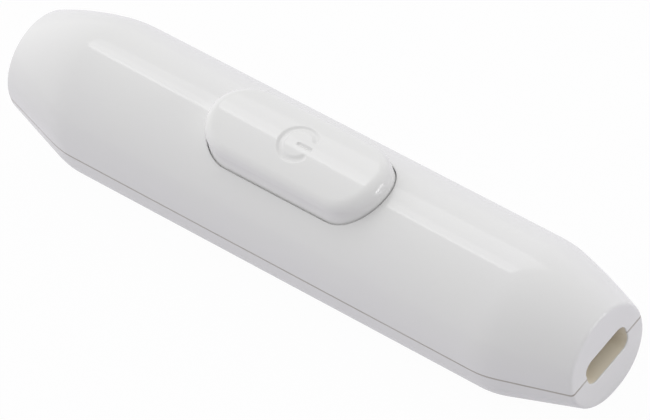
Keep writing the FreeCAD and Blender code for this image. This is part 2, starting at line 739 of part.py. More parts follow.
def draw_track(sketch):
    """The latch pin's track, in the plunger's cam slab: an outer wall around a heart-shaped island.
    The pin rests at the foot of one lane, stops in the island's notch when the switch is latched, and
    comes back down the other lane."""
    lane = size.track_lane
    side = lane + size.pin_radius + size.track_gap
    foot = pin_rest_height - size.pin_radius - size.track_end_gap
    head = pin_rest_height + size.button_travel + pin_swing_rise + size.pin_radius + size.track_end_gap
    corner = size.pin_radius
    add_outline(
        sketch,
        [(-side + corner, foot), (side - corner, foot), (side, foot + corner), (side, head - corner),
         (side - corner, head), (-side + corner, head), (-side, head - corner), (-side, foot + corner)])
    island = lane - size.pin_radius - size.track_gap
    low = pin_rest_height + pin_swing_rise + size.pin_radius + size.track_end_gap
    notch = pin_rest_height + size.latch_travel - size.pin_radius - size.track_gap
    ear = pin_rest_height + size.button_travel - size.pin_radius - 2 * size.track_end_gap
    shoulder = (low + ear) / 2
    add_outline(
        sketch,
        [(0, low), (island, shoulder), (island, ear - corner), (island / 2, ear), (0, notch),
         (-island / 2, ear), (-island, ear - corner), (-island, shoulder)])


def make_plunger():
    body = new_body("plunger")
    pad(body, "plate", "XY_Plane", plate_bottom, size.plate_height,
        lambda sketch: add_stadium(sketch, size.plate_length, size.plate_width))
    pad_length = size.button_length - 2 * size.button_wall - 2 * size.fit_gap
    pad_width = size.button_width - 2 * size.button_wall - 2 * size.fit_gap
    pad(body, "raised_pad", "XY_Plane", plate_top, size.pad_height,
        lambda sketch: add_stadium(sketch, pad_length, pad_width))
    cam_half = size.cam_thickness / 2
    slab_bottom = plate_bottom - size.cam_reach
    pad(body, "cam_slab", "XZ_Plane", -cam_half, size.cam_thickness,
        lambda sketch: add_rectangle(sketch, -size.cam_width / 2, size.cam_width / 2, slab_bottom,
                                     plate_bottom + size.fit_gap))
    sketch = new_sketch(body, "heart_track_sketch", "XZ_Plane", -cam_half)
    draw_track(sketch)
    track = body.newObject("PartDesign::Pocket", "heart_track")
    track.Profile = sketch
    track.Type = "Length"
    track.Reversed = True
    bind(track, "Length", size.track_depth)
    spigot_spots = (size.spring_offset, -size.spring_offset)
    pad(body, "spring_spigots", "XY_Plane", plate_bottom - size.spigot_height, size.spigot_height,
        lambda sketch: [add_circle(sketch, place, 0, size.spigot_radius) for place in spigot_spots])
    peg_spots = [(sx * size.peg_offset, sy * size.pole_offset) for sx in (1, -1) for sy in (1, -1)]
    pad(body, "bridge_pegs", "XY_Plane", plate_bottom - size.peg_length, size.peg_length,
        lambda sketch: [add_circle(sketch, x, y, size.peg_radius) for x, y in peg_spots])
    return body


# Latch pin


def place(body, x=0, y=0, z=0, turned=False):
    """Set the body down at bound coordinates, turned half round about Z where asked."""
    turn = FreeCAD.Rotation(FreeCAD.Vector(0, 0, 1), 180 if turned else 0)
    body.Placement = FreeCAD.Placement(FreeCAD.Vector(0, 0, 0), turn)
    for axis, length in (("x", x), ("y", y), ("z", z)):
        bind(body, "Placement.Base." + axis, length)


def make_latch_pin():
    """A bent wire, drawn upright from its pivot: a pivot leg for the block's lug, an arm beside the
    cam slab and a tip in the track. It leans so that the tip rests at the foot of its lane."""
    body = new_body("latch_pin")
    pivot_end = lug_start + size.lug_thickness
    tip_end = size.cam_thickness / 2 - size.track_depth + size.pin_side_gap
    bend = size.pin_bend
    arm = size.pin_arm
    near_bend = pin_plane + bend
    far_bend = pin_plane - bend

    spine = new_sketch(body, "wire_path", "YZ_Plane")
    add_chain(
        spine,
        [(pivot_end, 0), (near_bend, 0), (pin_plane, bend), (pin_plane, arm - bend), (far_bend, arm),
         (tip_end, arm)],
        {1: (near_bend, bend, -1), 3: (far_bend, arm - bend, 1)},
        closed=False)
    profile = new_sketch(body, "wire_section", "XZ_Plane", -pivot_end)
    add_circle(profile, 0, 0, size.pin_radius)
    pipe = body.newObject("PartDesign::AdditivePipe", "wire")
    pipe.Profile = profile
    pipe.Spine = spine

    body.Placement = FreeCAD.Placement(FreeCAD.Vector(0, 0, 0),
                                       FreeCAD.Rotation(FreeCAD.Vector(0, 1, 0), 1))
    lean = "asin(%s)" % (size.track_lane / size.pin_arm).text
    body.setExpression("Placement.Rotation.Angle", lean)
    bind(body, "Placement.Base.z", size.pin_pivot_height)
    return body


# Return springs


def make_return_spring(label, side):
    body = new_body(label)
    coil_height = plate_bottom - size.block_floor - 2 * size.spring_wire - 2 * size.fit_gap
    sketch = new_sketch(body, "wire_section", "XZ_Plane")
    add_circle(sketch, size.spring_radius, size.spring_wire + size.fit_gap, size.spring_wire)
    coil = body.newObject("PartDesign::AdditiveHelix", "coil")
    coil.Profile = sketch
    coil.ReferenceAxis = (sketch, ["V_Axis"])
    coil.Mode = "height-turns-angle"
    bind(coil, "Height", coil_height)
    bind(coil, "Turns", size.spring_turns)
    place(body, side * size.spring_offset, 0, size.block_floor)
    return body


# Contact block, the insulating base of the mechanism


def make_contact_block():
    body = new_body("contact_block")
    foot = block_half_foot
    wide = block_half_width
    base = size.shell_wall + size.rest_gap
    pad(body, "base", "YZ_Plane", -block_half_length, 2 * block_half_length,
        lambda sketch: add_outline(
            sketch,
            [(-foot, base), (foot, base), (wide, size.block_shoulder), (wide, size.block_top),
             (-wide, size.block_top), (-wide, size.block_shoulder)]))

    barrier_end = terminal_offset + size.terminal_length / 2
    barrier_start = boss_offset + size.boss_radius + size.boss_gap + size.barrier_gap

    def draw_barriers(sketch):
        half = size.barrier_thickness / 2
        for side in (1, -1):
            add_rectangle(sketch, side * barrier_start, side * barrier_end, -half, half)

    pad(body, "barriers", "XY_Plane", size.block_top - size.fit_gap,
        size.barrier_height - size.block_top + size.fit_gap, draw_barriers)

    # Middle well for the cam slab and the moving contacts
    def draw_well(sketch):
        half = size.finger_face - size.contact_gap / 2
        half_width = size.centre_well_width / 2
        add_rectangle(sketch, -half, half, -half_width, half_width)

    depth = size.block_top - size.block_floor
    pocket(body, "centre_well", "XY_Plane", size.block_top, depth, draw_well)

    # Channels for the fixed contact strips
    def draw_channels(sketch):
        half = size.strip_width / 2 + size.fit_gap
        start = size.finger_face - size.contact_gap
        end = terminal_offset
        for side_x in (1, -1):
            for side_y in (1, -1):
                middle = side_y * size.pole_offset
                add_rectangle(sketch, side_x * start, side_x * end, middle - half, middle + half)

    pocket(body, "strip_channels", "XY_Plane", size.block_top, size.block_top - size.strip_level,
           draw_channels)

    # Seats for the terminals
    def draw_seats(sketch):
        half_length = size.terminal_length / 2 + size.fit_gap
        half_width = size.terminal_width / 2 + size.fit_gap
        for side_x in (1, -1):
            for side_y in (1, -1):
                x = side_x * terminal_offset
                y = side_y * size.pole_offset
                add_rectangle(sketch, x - half_length, x + half_length, y - half_width, y + half_width)

    pocket(body, "terminal_seats", "XY_Plane", size.block_top, size.block_top - terminal_base, draw_seats)

    spring_spots = (size.spring_offset, -size.spring_offset)
    pocket(body, "spring_wells", "XY_Plane", size.block_top, depth,
           lambda sketch: [add_circle(sketch, spot, 0, size.well_radius) for spot in spring_spots])
    pad(body, "spring_spigots", "XY_Plane", size.block_floor - size.fit_gap,
        size.spigot_height + size.fit_gap,
        lambda sketch: [add_circle(sketch, spot, 0, size.spigot_radius) for spot in spring_spots])
    boss_spots = (boss_offset, -boss_offset)
    pocket(body, "boss_holes", "XY_Plane", size.block_top, size.block_top,
           lambda sketch: [add_circle(sketch, spot, 0, size.boss_radius + size.boss_gap)
                           for spot in boss_spots])

    # Lug that carries the latch pin's pivot leg
    lug_end = lug_start + size.lug_thickness
    half = size.lug_width / 2
    pad(body, "pin_lug", "XZ_Plane", -lug_end, size.lug_thickness,
        lambda sketch: add_rectangle(sketch, -half, half, size.block_floor - size.fit_gap,
                                     size.pin_pivot_height + size.lug_crown))
    pocket(body, "pin_pivot", "XZ_Plane", -lug_start, size.lug_thickness,
           lambda sketch: add_circle(sketch, 0, size.pin_pivot_height,
                                     size.pin_radius + size.pin_hole_gap))
    return body


# Contacts


def make_fixed_contact(label, side_x, side_y):
    """A strip from the terminal inwards, bent up into the finger that the bridge wipes."""
    body = new_body(label)
    start = size.finger_face
    end = terminal_offset + size.terminal_length / 2
    low = size.strip_level
    high = strip_top
    tip = strip_top + size.finger_height
    half = size.strip_width / 2
    pad(body, "strip", "XZ_Plane", -half, size.strip_width,
        lambda sketch: add_outline(
            sketch,
            [(start, low), (end, low), (end, high), (start + size.strip_thickness, high),
             (start + size.strip_thickness, tip), (start, tip)]))
    place(body, 0, side_y * size.pole_offset, 0, turned=side_x < 0)
    return body


def make_bridge_contact(label, side_y):
    """A brass bridge that hangs under the plunger and joins the two fingers of one pole."""
    body = new_body(label)
    top = plate_bottom - size.fit_gap
    under = top - size.bridge_thickness
    foot = top - size.bridge_leg
    outer = size.finger_face - size.contact_gap
    inner = outer - size.bridge_thickness
    pad(body, "bridge", "XZ_Plane", -size.strip_width / 2, size.strip_width,
        lambda sketch: add_outline(
            sketch,
            [(-outer, foot), (-inner, foot), (-inner, under), (inner, under), (inner, foot),
             (outer, foot), (outer, top), (-outer, top)]))
    peg_spots = (size.peg_offset, -size.peg_offset)
    pocket(body, "peg_holes", "XY_Plane", top, size.bridge_thickness,
           lambda sketch: [add_circle(sketch, spot, 0, size.peg_radius + size.fit_gap)
                           for spot in peg_spots])
    place(body, 0, side_y * size.pole_offset, 0)
    return body


# Terminals and screws


def make_terminal(label, side_x, side_y):
    body = new_body(label)
    half_width = size.terminal_width / 2
    half_length = size.terminal_length / 2
    window_low = size.strip_level
    window_high = window_low + size.window_height
    pad(body, "block", "YZ_Plane", -half_length, size.terminal_length,
        lambda sketch: [
            add_rectangle(sketch, -half_width, half_width, terminal_base, terminal_top),
            add_rectangle(sketch, -size.window_width / 2, size.window_width / 2, window_low,
                          window_high)])
    pocket(body, "thread", "XY_Plane", terminal_top, terminal_top - window_high,
           lambda sketch: add_circle(sketch, 0, 0, size.terminal_screw_radius + size.thread_gap))
    place(body, side_x * terminal_offset, side_y * size.pole_offset, 0)
    return body


def cheese_head_screw(label, radius, head_radius, head_height, length):
    """A slotted screw with its head's underside at its own zero level."""
    body = new_body(label)
    half = radius / 4

    def draw_profile(sketch):
        add_outline(
            sketch,
            [(0, -length), (radius - half, -length), (radius, -length + half), (radius, 0),
             (head_radius, 0), (head_radius, head_height), (0, head_height)])

    revolve(body, "turned", "XZ_Plane", draw_profile)
    pocket(body, "slot", "XY_Plane", head_height, size.slot_depth,
           lambda sketch: add_rectangle(sketch, -2 * head_radius, 2 * head_radius,
                                        -size.slot_width / 2, size.slot_width / 2))
    return body


def make_terminal_screw(label, side_x, side_y):
    reach = size.terminal_height - size.terminal_floor - size.strip_thickness - size.fit_gap
    body = cheese_head_screw(label, size.terminal_screw_radius, size.terminal_screw_head,
                             size.terminal_head_height, reach)
    place(body, side_x * terminal_offset, side_y * size.pole_offset, terminal_top + size.fit_gap)
    return body


def make_clamp_screw(label, side_x, side_y):
    body = cheese_head_screw(label, size.clamp_screw_radius, size.clamp_screw_head,
                             size.clamp_head_height, size.clamp_screw_length)
    seat = size.clamp_post_top + size.clamp_sheet + size.fit_gap
    place(body, side_x * clamp_offset, side_y * clamp_half_span, seat)
    return body


def make_cord_clamp(label, side_x):
    """A pressed saddle over the cord, screwed to a post on each side."""
    body = new_body(label)
    low = size.clamp_post_top
    sheet = size.clamp_sheet
    inner = cord_half_width + size.clamp_squeeze
    outer = inner + sheet
    roof = size.seam_height + cord_half_thickness
    end = clamp_half_span + size.clamp_end
    pad(body, "saddle", "YZ_Plane", -size.clamp_length / 2, size.clamp_length,
        lambda sketch: add_outline(
            sketch,
            [(-end, low), (-inner, low), (-inner, roof), (inner, roof), (inner, low), (end, low),
             (end, low + sheet), (outer, low + sheet), (outer, roof + sheet), (-outer, roof + sheet),
             (-outer, low + sheet), (-end, low + sheet)]))
    hole = size.clamp_screw_radius + size.thread_gap
    screw_spots = (clamp_half_span, -clamp_half_span)
    pocket(body, "screw_holes", "XY_Plane", low + sheet, sheet,
           lambda sketch: [add_circle(sketch, 0, spot, hole) for spot in screw_spots])
    place(body, side_x * clamp_offset, 0, 0)
    return body


def make_casing_screw(label, side_x):
    """A countersunk screw, driven from below, with its head's outer face at its own zero level."""
    body = new_body(label)
    radius = size.casing_screw_radius
    head = size.casing_screw_head
    cone = size.casing_screw_cone
    length = size.casing_screw_length
    bevel = radius / 4

    def draw_profile(sketch):
        add_outline(sketch, [(0, 0), (head, 0), (radius, cone), (radius, length - bevel),
                             (radius - bevel, length), (0, length)])

    revolve(body, "turned", "XZ_Plane", draw_profile)
    for name, along in (("slot_x", True), ("slot_y", False)):
        reach, half = size.casing_screw_radius, size.slot_width / 2
        sides = (-reach, reach, -half, half) if along else (-half, half, -reach, reach)
        pocket(body, name, "XY_Plane", size.slot_depth, size.slot_depth,
               lambda sketch, sides=sides: add_rectangle(sketch, *sides))
    place(body, side_x * boss_offset, 0, size.casing_screw_sink)
    return body


# All pieces

POLES = [(side_x, side_y) for side_x in (1, -1) for side_y in (1, -1)]
SIDES = [1, -1]

pieces = [make_upper_shell(), make_lower_shell(), make_push_button(), make_plunger(),
          make_latch_pin(), make_contact_block()]
for number, side in enumerate(SIDES, start=1):
    pieces.append(make_return_spring("return_spring_%d" % number, side))
    pieces.append(make_bridge_contact("bridge_contact_%d" % number, side))
    pieces.append(make_cord_clamp("cord_clamp_%d" % number, side))
    pieces.append(make_casing_screw("casing_screw_%d" % number, side))
for number, (side_x, side_y) in enumerate(POLES, start=1):
    pieces.append(make_fixed_contact("fixed_contact_%d" % number, side_x, side_y))
    pieces.append(make_terminal("terminal_%d" % number, side_x, side_y))
    pieces.append(make_terminal_screw("terminal_screw_%d" % number, side_x, side_y))
    pieces.append(make_clamp_screw("clamp_screw_%d" % number, side_x, side_y))

doc.recompute()

for item in doc.Objects:
    if "Invalid" in item.State or "Error" in item.State:
        raise RuntimeError("%s failed to recompute: %s" % (item.Name, item.State))

os.makedirs("parts", exist_ok=True)
for body in pieces:
    shape = body.Shape
    if shape.isNull() or not shape.isValid() or len(shape.Solids) != 1:
        raise RuntimeError("%s is not one valid solid" % body.Label)
    shape.exportStep("parts/%s.step" % body.Label)
    box = shape.BoundBox
    print("%-18s %8.2f mm3  x %6.2f %6.2f  y %6.2f %6.2f  z %6.2f %6.2f" % (
        body.Label, shape.Volume, box.XMin, box.XMax, box.YMin, box.YMax, box.ZMin, box.ZMax))
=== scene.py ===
"""An inline cord switch: a slim white casing in two halves with a long push button.

Metres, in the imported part's own frame: X along the cord, Z up, the underside on Z = 0. Shapes are
worked out in millimetres, with heights measured from the seam between the halves.
"""

import math

import bmesh
import bpy
import numpy as np
from mathutils import Matrix, Vector


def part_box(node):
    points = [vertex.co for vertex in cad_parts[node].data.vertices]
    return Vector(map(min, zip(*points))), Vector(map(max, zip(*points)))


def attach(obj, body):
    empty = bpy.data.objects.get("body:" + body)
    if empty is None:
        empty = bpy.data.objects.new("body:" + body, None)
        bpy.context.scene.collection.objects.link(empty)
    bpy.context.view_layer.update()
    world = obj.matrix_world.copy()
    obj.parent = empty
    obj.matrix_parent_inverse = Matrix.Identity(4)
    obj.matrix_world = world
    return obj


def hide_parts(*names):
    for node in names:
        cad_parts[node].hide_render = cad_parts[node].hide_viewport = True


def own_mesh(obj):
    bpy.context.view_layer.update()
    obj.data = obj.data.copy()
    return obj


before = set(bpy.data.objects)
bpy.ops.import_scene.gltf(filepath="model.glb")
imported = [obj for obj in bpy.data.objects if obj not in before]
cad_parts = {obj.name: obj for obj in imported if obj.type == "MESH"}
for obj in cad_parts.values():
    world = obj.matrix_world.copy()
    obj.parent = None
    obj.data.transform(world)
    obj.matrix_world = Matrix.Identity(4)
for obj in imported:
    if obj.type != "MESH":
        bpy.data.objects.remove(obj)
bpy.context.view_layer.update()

MM = 0.001

# Casing, in millimetres: SEAM is also the depth of the lower half, and HAUNCH rounds its corners

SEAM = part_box("lower_shell")[0].z / MM + 7.2
HALF_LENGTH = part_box("upper_shell")[1].x / MM
HALF_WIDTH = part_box("upper_shell")[1].y / MM
CROWN = 9.25
HAUNCH = 5.7
WALL = 1.5
EDGE = 0.12

# Tapers and end faces

RIM = 6.4
RIM_CORNER = 6.1
RIM_ROUND = 0.5
RIM_ANGLE = math.radians(16)
TAPER = 10.6
TAPER_START = HALF_LENGTH - TAPER
TAPER_RUN = TAPER - RIM_ROUND * (1 - math.sin(RIM_ANGLE))
TAPER_BULGE = 1.85
TAPER_BLEND = 1.6
END_WALL = 1.6
INNER_RUN = TAPER - END_WALL
BARREL_SIZES = {"width": HALF_WIDTH, "crown": CROWN, "depth": SEAM, "corner": HAUNCH}
RIM_SIZES = {"width": RIM, "crown": RIM, "depth": RIM, "corner": RIM_CORNER}

# Cable entries: half their width and height, their corners and edges, and the sleeve behind them

ENTRY_WIDTH, ENTRY_HEIGHT, ENTRY_CORNER = 3.6, 1.8, 1.3
ENTRY_EDGE = 0.15
ENTRY_WALL = 0.8
ENTRY_SLEEVE = 1.8

# Locating lip of the lower half, and its rebate in the upper half

LIP_REACH, LIP_THICK, LIP_TOP = 26.0, 0.6, 0.8
REBATE_REACH = LIP_REACH + 0.1
REBATE_DEPTH, REBATE_TOP = 0.7, 0.9

# Push button, its opening and the collar inside: slots whose round ends have the radius END about
# points that stand STRAIGHT from the middle

BUTTON_STRAIGHT, BUTTON_END, BUTTON_ROUND, BUTTON_EDGE = 7.5, 4.93, 11.6, 1.5
BUTTON_DRAFT, BUTTON_HOLLOW, BUTTON_WALL = 0.11, 4.0, 1.5
FLANGE_END, FLANGE_FOOT, FLANGE_TOP = 6.0, 10.85 - SEAM, 11.85 - SEAM
PAD_PLACE, PAD_THICK, PAD_FOOT, PAD_ROOT = 7.0, 1.0, 12.45 - SEAM, 0.3
OPENING_END = BUTTON_END + 0.16
OPENING_PATCH = 14.4, 8.0
COLLAR_END, COLLAR_FOOT = 6.48, 11.9 - SEAM

# Engraved symbol: an open ring and a bar, each with the half width of its line and its fade

SYMBOL_PLACE, SYMBOL_DEPTH = 0.42, 0.18
RING_RADIUS, RING_GAP, RING_LINE, RING_FADE = 2.12, math.radians(38), 0.1, 0.42
BAR_START, BAR_END, BAR_LINE, BAR_FADE = 0.15, 1.9, 0.02, 0.28

# Casing screws and their bosses, the posts and ribs of the cord clamps, and springs. Round sizes are
# radii, and a PATCH is half the length and width of the sheet that is worked out again round a hole

SCREW_PLACE, SCREW_HOLE = 16.0, 1.34
SCREW_PATCH = 3.45, 3.3
HEAD_HOLE, HEAD_EDGE, HEAD_FOOT, HEAD_TOP = 2.24, 0.1, 0.25 - SEAM, 1.25 - SEAM
BOSS, LOWER_BOSS_TOP = 2.3, 4.95 - SEAM
UPPER_BOSS_FOOT, UPPER_BOSS_TOP, THREAD_TOP = 5.0 - SEAM, 15.6 - SEAM, 10.85 - SEAM
CLAMP_PLACE, CLAMP_SPAN = 29.7, 5.75
POST, POST_FOOT, POST_TOP = 1.35, 1.4 - SEAM, 7.6 - SEAM
POST_HOLE, POST_HOLE_FOOT = 1.04, 2.4 - SEAM
RIB_THICK, RIB_FOOT, RIB_TOP = 2.0, 0.75 - SEAM, 5.4 - SEAM
SPRING_WIRE, SPRING_TURNS = 0.19, 6

# How finely the surfaces are divided

PATCH_ROWS, BARREL_ROWS, TAPER_ROWS = 31, 15, 32
RIM_ROWS, FACE_ROWS, ENTRY_ROWS = 6, 5, 4
CROWN_COLUMNS, HAUNCH_COLUMNS, EDGE_COLUMNS = 97, 113, 4
BUTTON_TOP_ROWS, BUTTON_EDGE_ROWS = 64, 13
SYMBOL_REACH, SYMBOL_COLUMNS, STRAIGHT_COLUMNS, ROUND_COLUMNS = 2.7, 91, 20, 49
COIL_STEPS, WIRE_STEPS, LATHE_STEPS = 48, 12, 40
WELD = 0.0005
SHARP_ANGLE = math.radians(38)

# Finishes of a casing half, by number: the polished outside, and everything else

POLISHED, MATT = 0, 1


# Surfaces


def grid_quads(rows, columns, wrap):
    """Corner numbers of each cell of a grid of points, a row of the grid after the other. Where wrap
    is set, the last column also joins the first."""
    i = np.arange(rows - 1)[:, None]
    j = np.arange(columns if wrap else columns - 1)[None, :]
    down, right = i + 1, (j + 1) % columns
    cells = [i * columns + j, i * columns + right, down * columns + right, down * columns + j]
    return np.stack(np.broadcast_arrays(*cells), -1)


class Skin:
    """Grids of points that are welded into one closed mesh, in millimetres above the seam."""

    def __init__(self):
        self.points = []
        self.quads = []
        self.finishes = []
        self.count = 0

    def add(self, points, finish=POLISHED, wrap=False, keep=None):
        """Adds a grid, rows by columns by 3, that takes the material of one number. keep says which
        of its cells stay."""
        rows, columns = points.shape[:2]
        quads = grid_quads(rows, columns, wrap)
        keep = np.ones(quads.shape[:2], bool) if keep is None else keep
        self.quads.append(quads[keep] + self.count)
        self.finishes.append(np.full(np.count_nonzero(keep), finish))
        self.points.append(points.reshape(-1, 3))
        self.count += rows * columns

    def lathe(self, x, y, profile, finish):
        """Turns a profile of radius and height, which starts and ends on the axis, about the upright
        line at x, y: (x + r cos a, y + r sin a, height)."""
        angle = np.arange(LATHE_STEPS) * 2 * np.pi / LATHE_STEPS
        radius, height = (np.array(values, float)[:, None] for values in zip(*profile))
        points = np.broadcast_arrays(x + radius * np.cos(angle), y + radius * np.sin(angle), height)
        self.add(np.stack(points, -1), finish, wrap=True)

    def bar(self, low, high, finish):
        """A closed bar between two corners, as a square profile carried from one end to the other
        and drawn together to a point at each end."""
        (x0, y0, z0), (x1, y1, z1) = low, high
        x = np.array([x0, x0, x1, x1])[:, None]
        y = np.array([y0, y1, y1, y0])
        z = np.array([z0, z0, z1, z1])
        share = np.array([0.0, 1.0, 1.0, 0.0])[:, None]
        middle_y, middle_z = (y0 + y1) / 2, (z0 + z1) / 2
        across, upward = middle_y + share * (y - middle_y), middle_z + share * (z - middle_z)
        self.add(np.stack(np.broadcast_arrays(x, across, upward), -1), finish, wrap=True)

    def piece(self, name, body, materials, node):
        """Welds the grids, turns the faces outwards and stands the mesh in for a CAD node."""
        points = (np.concatenate(self.points) + (0, 0, SEAM)) * MM
        quads = np.concatenate(self.quads)
        mesh = bpy.data.meshes.new(name)
        mesh.vertices.add(len(points))
        mesh.vertices.foreach_set("co", points.ravel())
        mesh.loops.add(quads.size)
        mesh.loops.foreach_set("vertex_index", quads.ravel())
        mesh.polygons.add(len(quads))
        mesh.polygons.foreach_set("loop_start", np.arange(0, quads.size, 4))
        mesh.polygons.foreach_set("material_index", np.concatenate(self.finishes))
        mesh.update(calc_edges=True)
        work = bmesh.new()
        work.from_mesh(mesh)
        bmesh.ops.remove_doubles(work, verts=work.verts, dist=WELD * MM)
        bmesh.ops.dissolve_degenerate(work, edges=work.edges, dist=0.4 * WELD * MM)
        bmesh.ops.recalc_face_normals(work, faces=work.faces)
        work.to_mesh(mesh)
        work.free()
        mesh.polygons.foreach_set("use_smooth", np.ones(len(mesh.polygons), bool))
        mesh.set_sharp_from_angle(angle=SHARP_ANGLE)
        for material in materials:
            mesh.materials.append(material)
        thing = bpy.data.objects.new(name, mesh)
        bpy.context.scene.collection.objects.link(thing)
        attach(thing, body)
        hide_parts(node)
        return thing


def blended_ramp(distance, spread):
    """Zero before the kink and one for one after it. Within spread of the kink it is the parabola
    (d + spread)^2 / (4 spread), which meets both lines at their own slopes."""
    near = np.clip(distance, -spread, spread)
    return (near + spread) ** 2 / (4 * spread) + np.maximum(distance - spread, 0)


def bulged_ramp(distance, run):
    """The share of the taper raised to its bulge: (d / run) ^ bulge, and zero before the taper."""
    return np.clip(distance / run, 0, None) ** TAPER_BULGE


def rounded_outline(half_width, half_height, corner, low, share):
    """The part of a rounded rectangle above the height low, from its near side over the top to its
    far side, at equal steps of its own length: up the side, a quarter round, across, and the same
    back. Sizes may be columns of numbers, one for each section."""
    side = half_height - corner - low
    bend = corner * math.pi / 2
    flat = half_width - corner
    place = share * 2 * (side + bend + flat)
    mirrored = np.where(place > side + bend + flat, -1, 1)
    place = np.minimum(place, 2 * (side + bend + flat) - place)
    turn = np.clip(place - side, 0, bend) / np.maximum(corner, 1e-9)
    y = -half_width + corner * (1 - np.cos(turn)) + np.maximum(place - side - bend, 0)
    z = low + np.minimum(place, side) + corner * np.sin(turn)
    return y * mirrored, z


def arch_circle(half_width, height):
    """Centre level and radius of the arc through both seam points and the top: the centre is at
    (height^2 - width^2) / (2 height), on the middle line."""
    centre = (height**2 - half_width**2) / (2 * height)
    return centre, height - centre


def arch_outline(half_width, height, low, share):
    """The arc through both seam points and the top, at equal steps of its angle above low."""
    centre, radius = arch_circle(half_width, height)
    start = np.arcsin((low - centre) / radius)
    angle = start + (math.pi - 2 * start) * share
    return -radius * np.cos(angle), centre + radius * np.sin(angle)


def arch_height(half_width, height):
    """Height over the plan of such an arc: centre + sqrt(radius^2 - y^2)."""
    centre, radius = arch_circle(half_width, height)
    return lambda y: centre + np.sqrt(radius**2 - y**2)


def section_sizes(along, run, wall):
    """Half width, crown, depth and corner of the sections at along, a wall further in. Each goes from
    the barrel's size to the rim's as size - (size - rim) ramp. The crown's ramp is the bulged one,
    and the others take the straight one with its blended start."""
    past = along - TAPER_START
    straight = blended_ramp(past, TAPER_BLEND) / run
    ramps = {"crown": bulged_ramp(past, run)}
    return {
        name: size - wall - (size - RIM_SIZES[name]) * ramps.get(name, straight)
        for name, size in BARREL_SIZES.items()
    }


def joined(*parts):
    """Rows of numbers one after the other, as one column."""
    return np.concatenate(parts)[:, None]


def outer_rows(along):
    """Sections of the outside from the middle of the casing into the cable entry, a dictionary of
    columns. Past the taper come the rim's arc, the end face, where mix draws the section over to the
    entry's outline, and the arc that rounds the entry's edge. grow is what the entry's outline is
    larger by, lean is the surface's slope, and edge is the radius of the edge at the seam."""
    rim, face, entry = (np.arange(1, rows + 1) / rows for rows in (RIM_ROWS, FACE_ROWS, ENTRY_ROWS))
    turn = RIM_ANGLE + (math.pi / 2 - RIM_ANGLE) * rim
    inward = RIM_ROUND * (math.cos(RIM_ANGLE) - np.cos(turn))
    bend = math.pi / 2 * entry
    slope = math.atan((HALF_WIDTH - RIM) / TAPER_RUN)
    before_entry = len(along) + RIM_ROWS + FACE_ROWS
    after_rim = FACE_ROWS + ENTRY_ROWS
    rows = {
        name: joined(size, RIM_SIZES[name] - inward, np.full(after_rim, RIM_SIZES[name] - inward[-1]))
        for name, size in section_sizes(along, TAPER_RUN, 0).items()
    }
    rows["x"] = joined(along, HALF_LENGTH - RIM_ROUND * (1 - np.sin(turn)),
                       np.full(FACE_ROWS, HALF_LENGTH), HALF_LENGTH - ENTRY_EDGE * (1 - np.cos(bend)))
    rows["mix"] = joined(np.zeros(len(along) + RIM_ROWS), face, np.ones(ENTRY_ROWS))
    rows["grow"] = joined(np.full(before_entry, ENTRY_EDGE), ENTRY_EDGE * (1 - np.sin(bend)))
    rows["lean"] = joined(np.where(along > TAPER_START, slope, 0.0), turn,
                          np.full(after_rim, math.pi / 2))
    rows["edge"] = joined(np.full(before_entry, EDGE), np.linspace(EDGE, 0, ENTRY_ROWS))
    return rows


def inner_rows(along):
    """Sections of the inside, one for each of the outside: a wall further in, closed over the end
    wall to the entry's sleeve, and carried inwards along the sleeve to its thin edge."""
    end_rows = RIM_ROWS + FACE_ROWS + ENTRY_ROWS
    closing_rows = RIM_ROWS + FACE_ROWS
    past = np.maximum(along - TAPER_START, 0)
    along = np.where(past > 0, TAPER_START + past * INNER_RUN / TAPER_RUN, along)
    closing = np.arange(1, closing_rows + 1) / closing_rows
    sleeve = np.array([0.5, 1.0, 1.0, 1.0]) * ENTRY_SLEEVE
    sleeve_wall = np.array([1.0, 1.0, 0.5, 0.0]) * ENTRY_WALL
    rows = {
        name: joined(size, np.full(end_rows, RIM_SIZES[name] - WALL))
        for name, size in section_sizes(along, INNER_RUN, WALL).items()
    }
    end = HALF_LENGTH - END_WALL
    rows["x"] = joined(along, np.full(closing_rows, end), end - sleeve)
    rows["mix"] = joined(np.zeros(len(along)), closing, np.ones(ENTRY_ROWS))
    rows["grow"] = joined(np.full(len(along) + closing_rows, ENTRY_WALL), sleeve_wall)
    rows["lean"] = rows["edge"] = np.zeros((len(along) + end_rows, 1))
    return rows


def casing_rows():
    """Sections of the outside and the inside, both from the middle of the casing to its near end:
    closer together beside the button and along the taper, and a close pair where the rebate ends."""
    patch_end = OPENING_PATCH[0]
    barrel = np.concatenate([np.linspace(0, patch_end, PATCH_ROWS),
                             np.linspace(patch_end + 1, TAPER_START - 2, BARREL_ROWS),
                             [REBATE_REACH, REBATE_REACH + 0.02]])
    taper = np.linspace(TAPER_START - TAPER_BLEND, TAPER_START + TAPER_RUN, TAPER_ROWS)
    along = np.concatenate([np.sort(barrel), taper])
    return outer_rows(along), inner_rows(along)


def both_ends(column):
    """The same sections from the far end to the near end."""
    return np.concatenate([column[:0:-1], column])


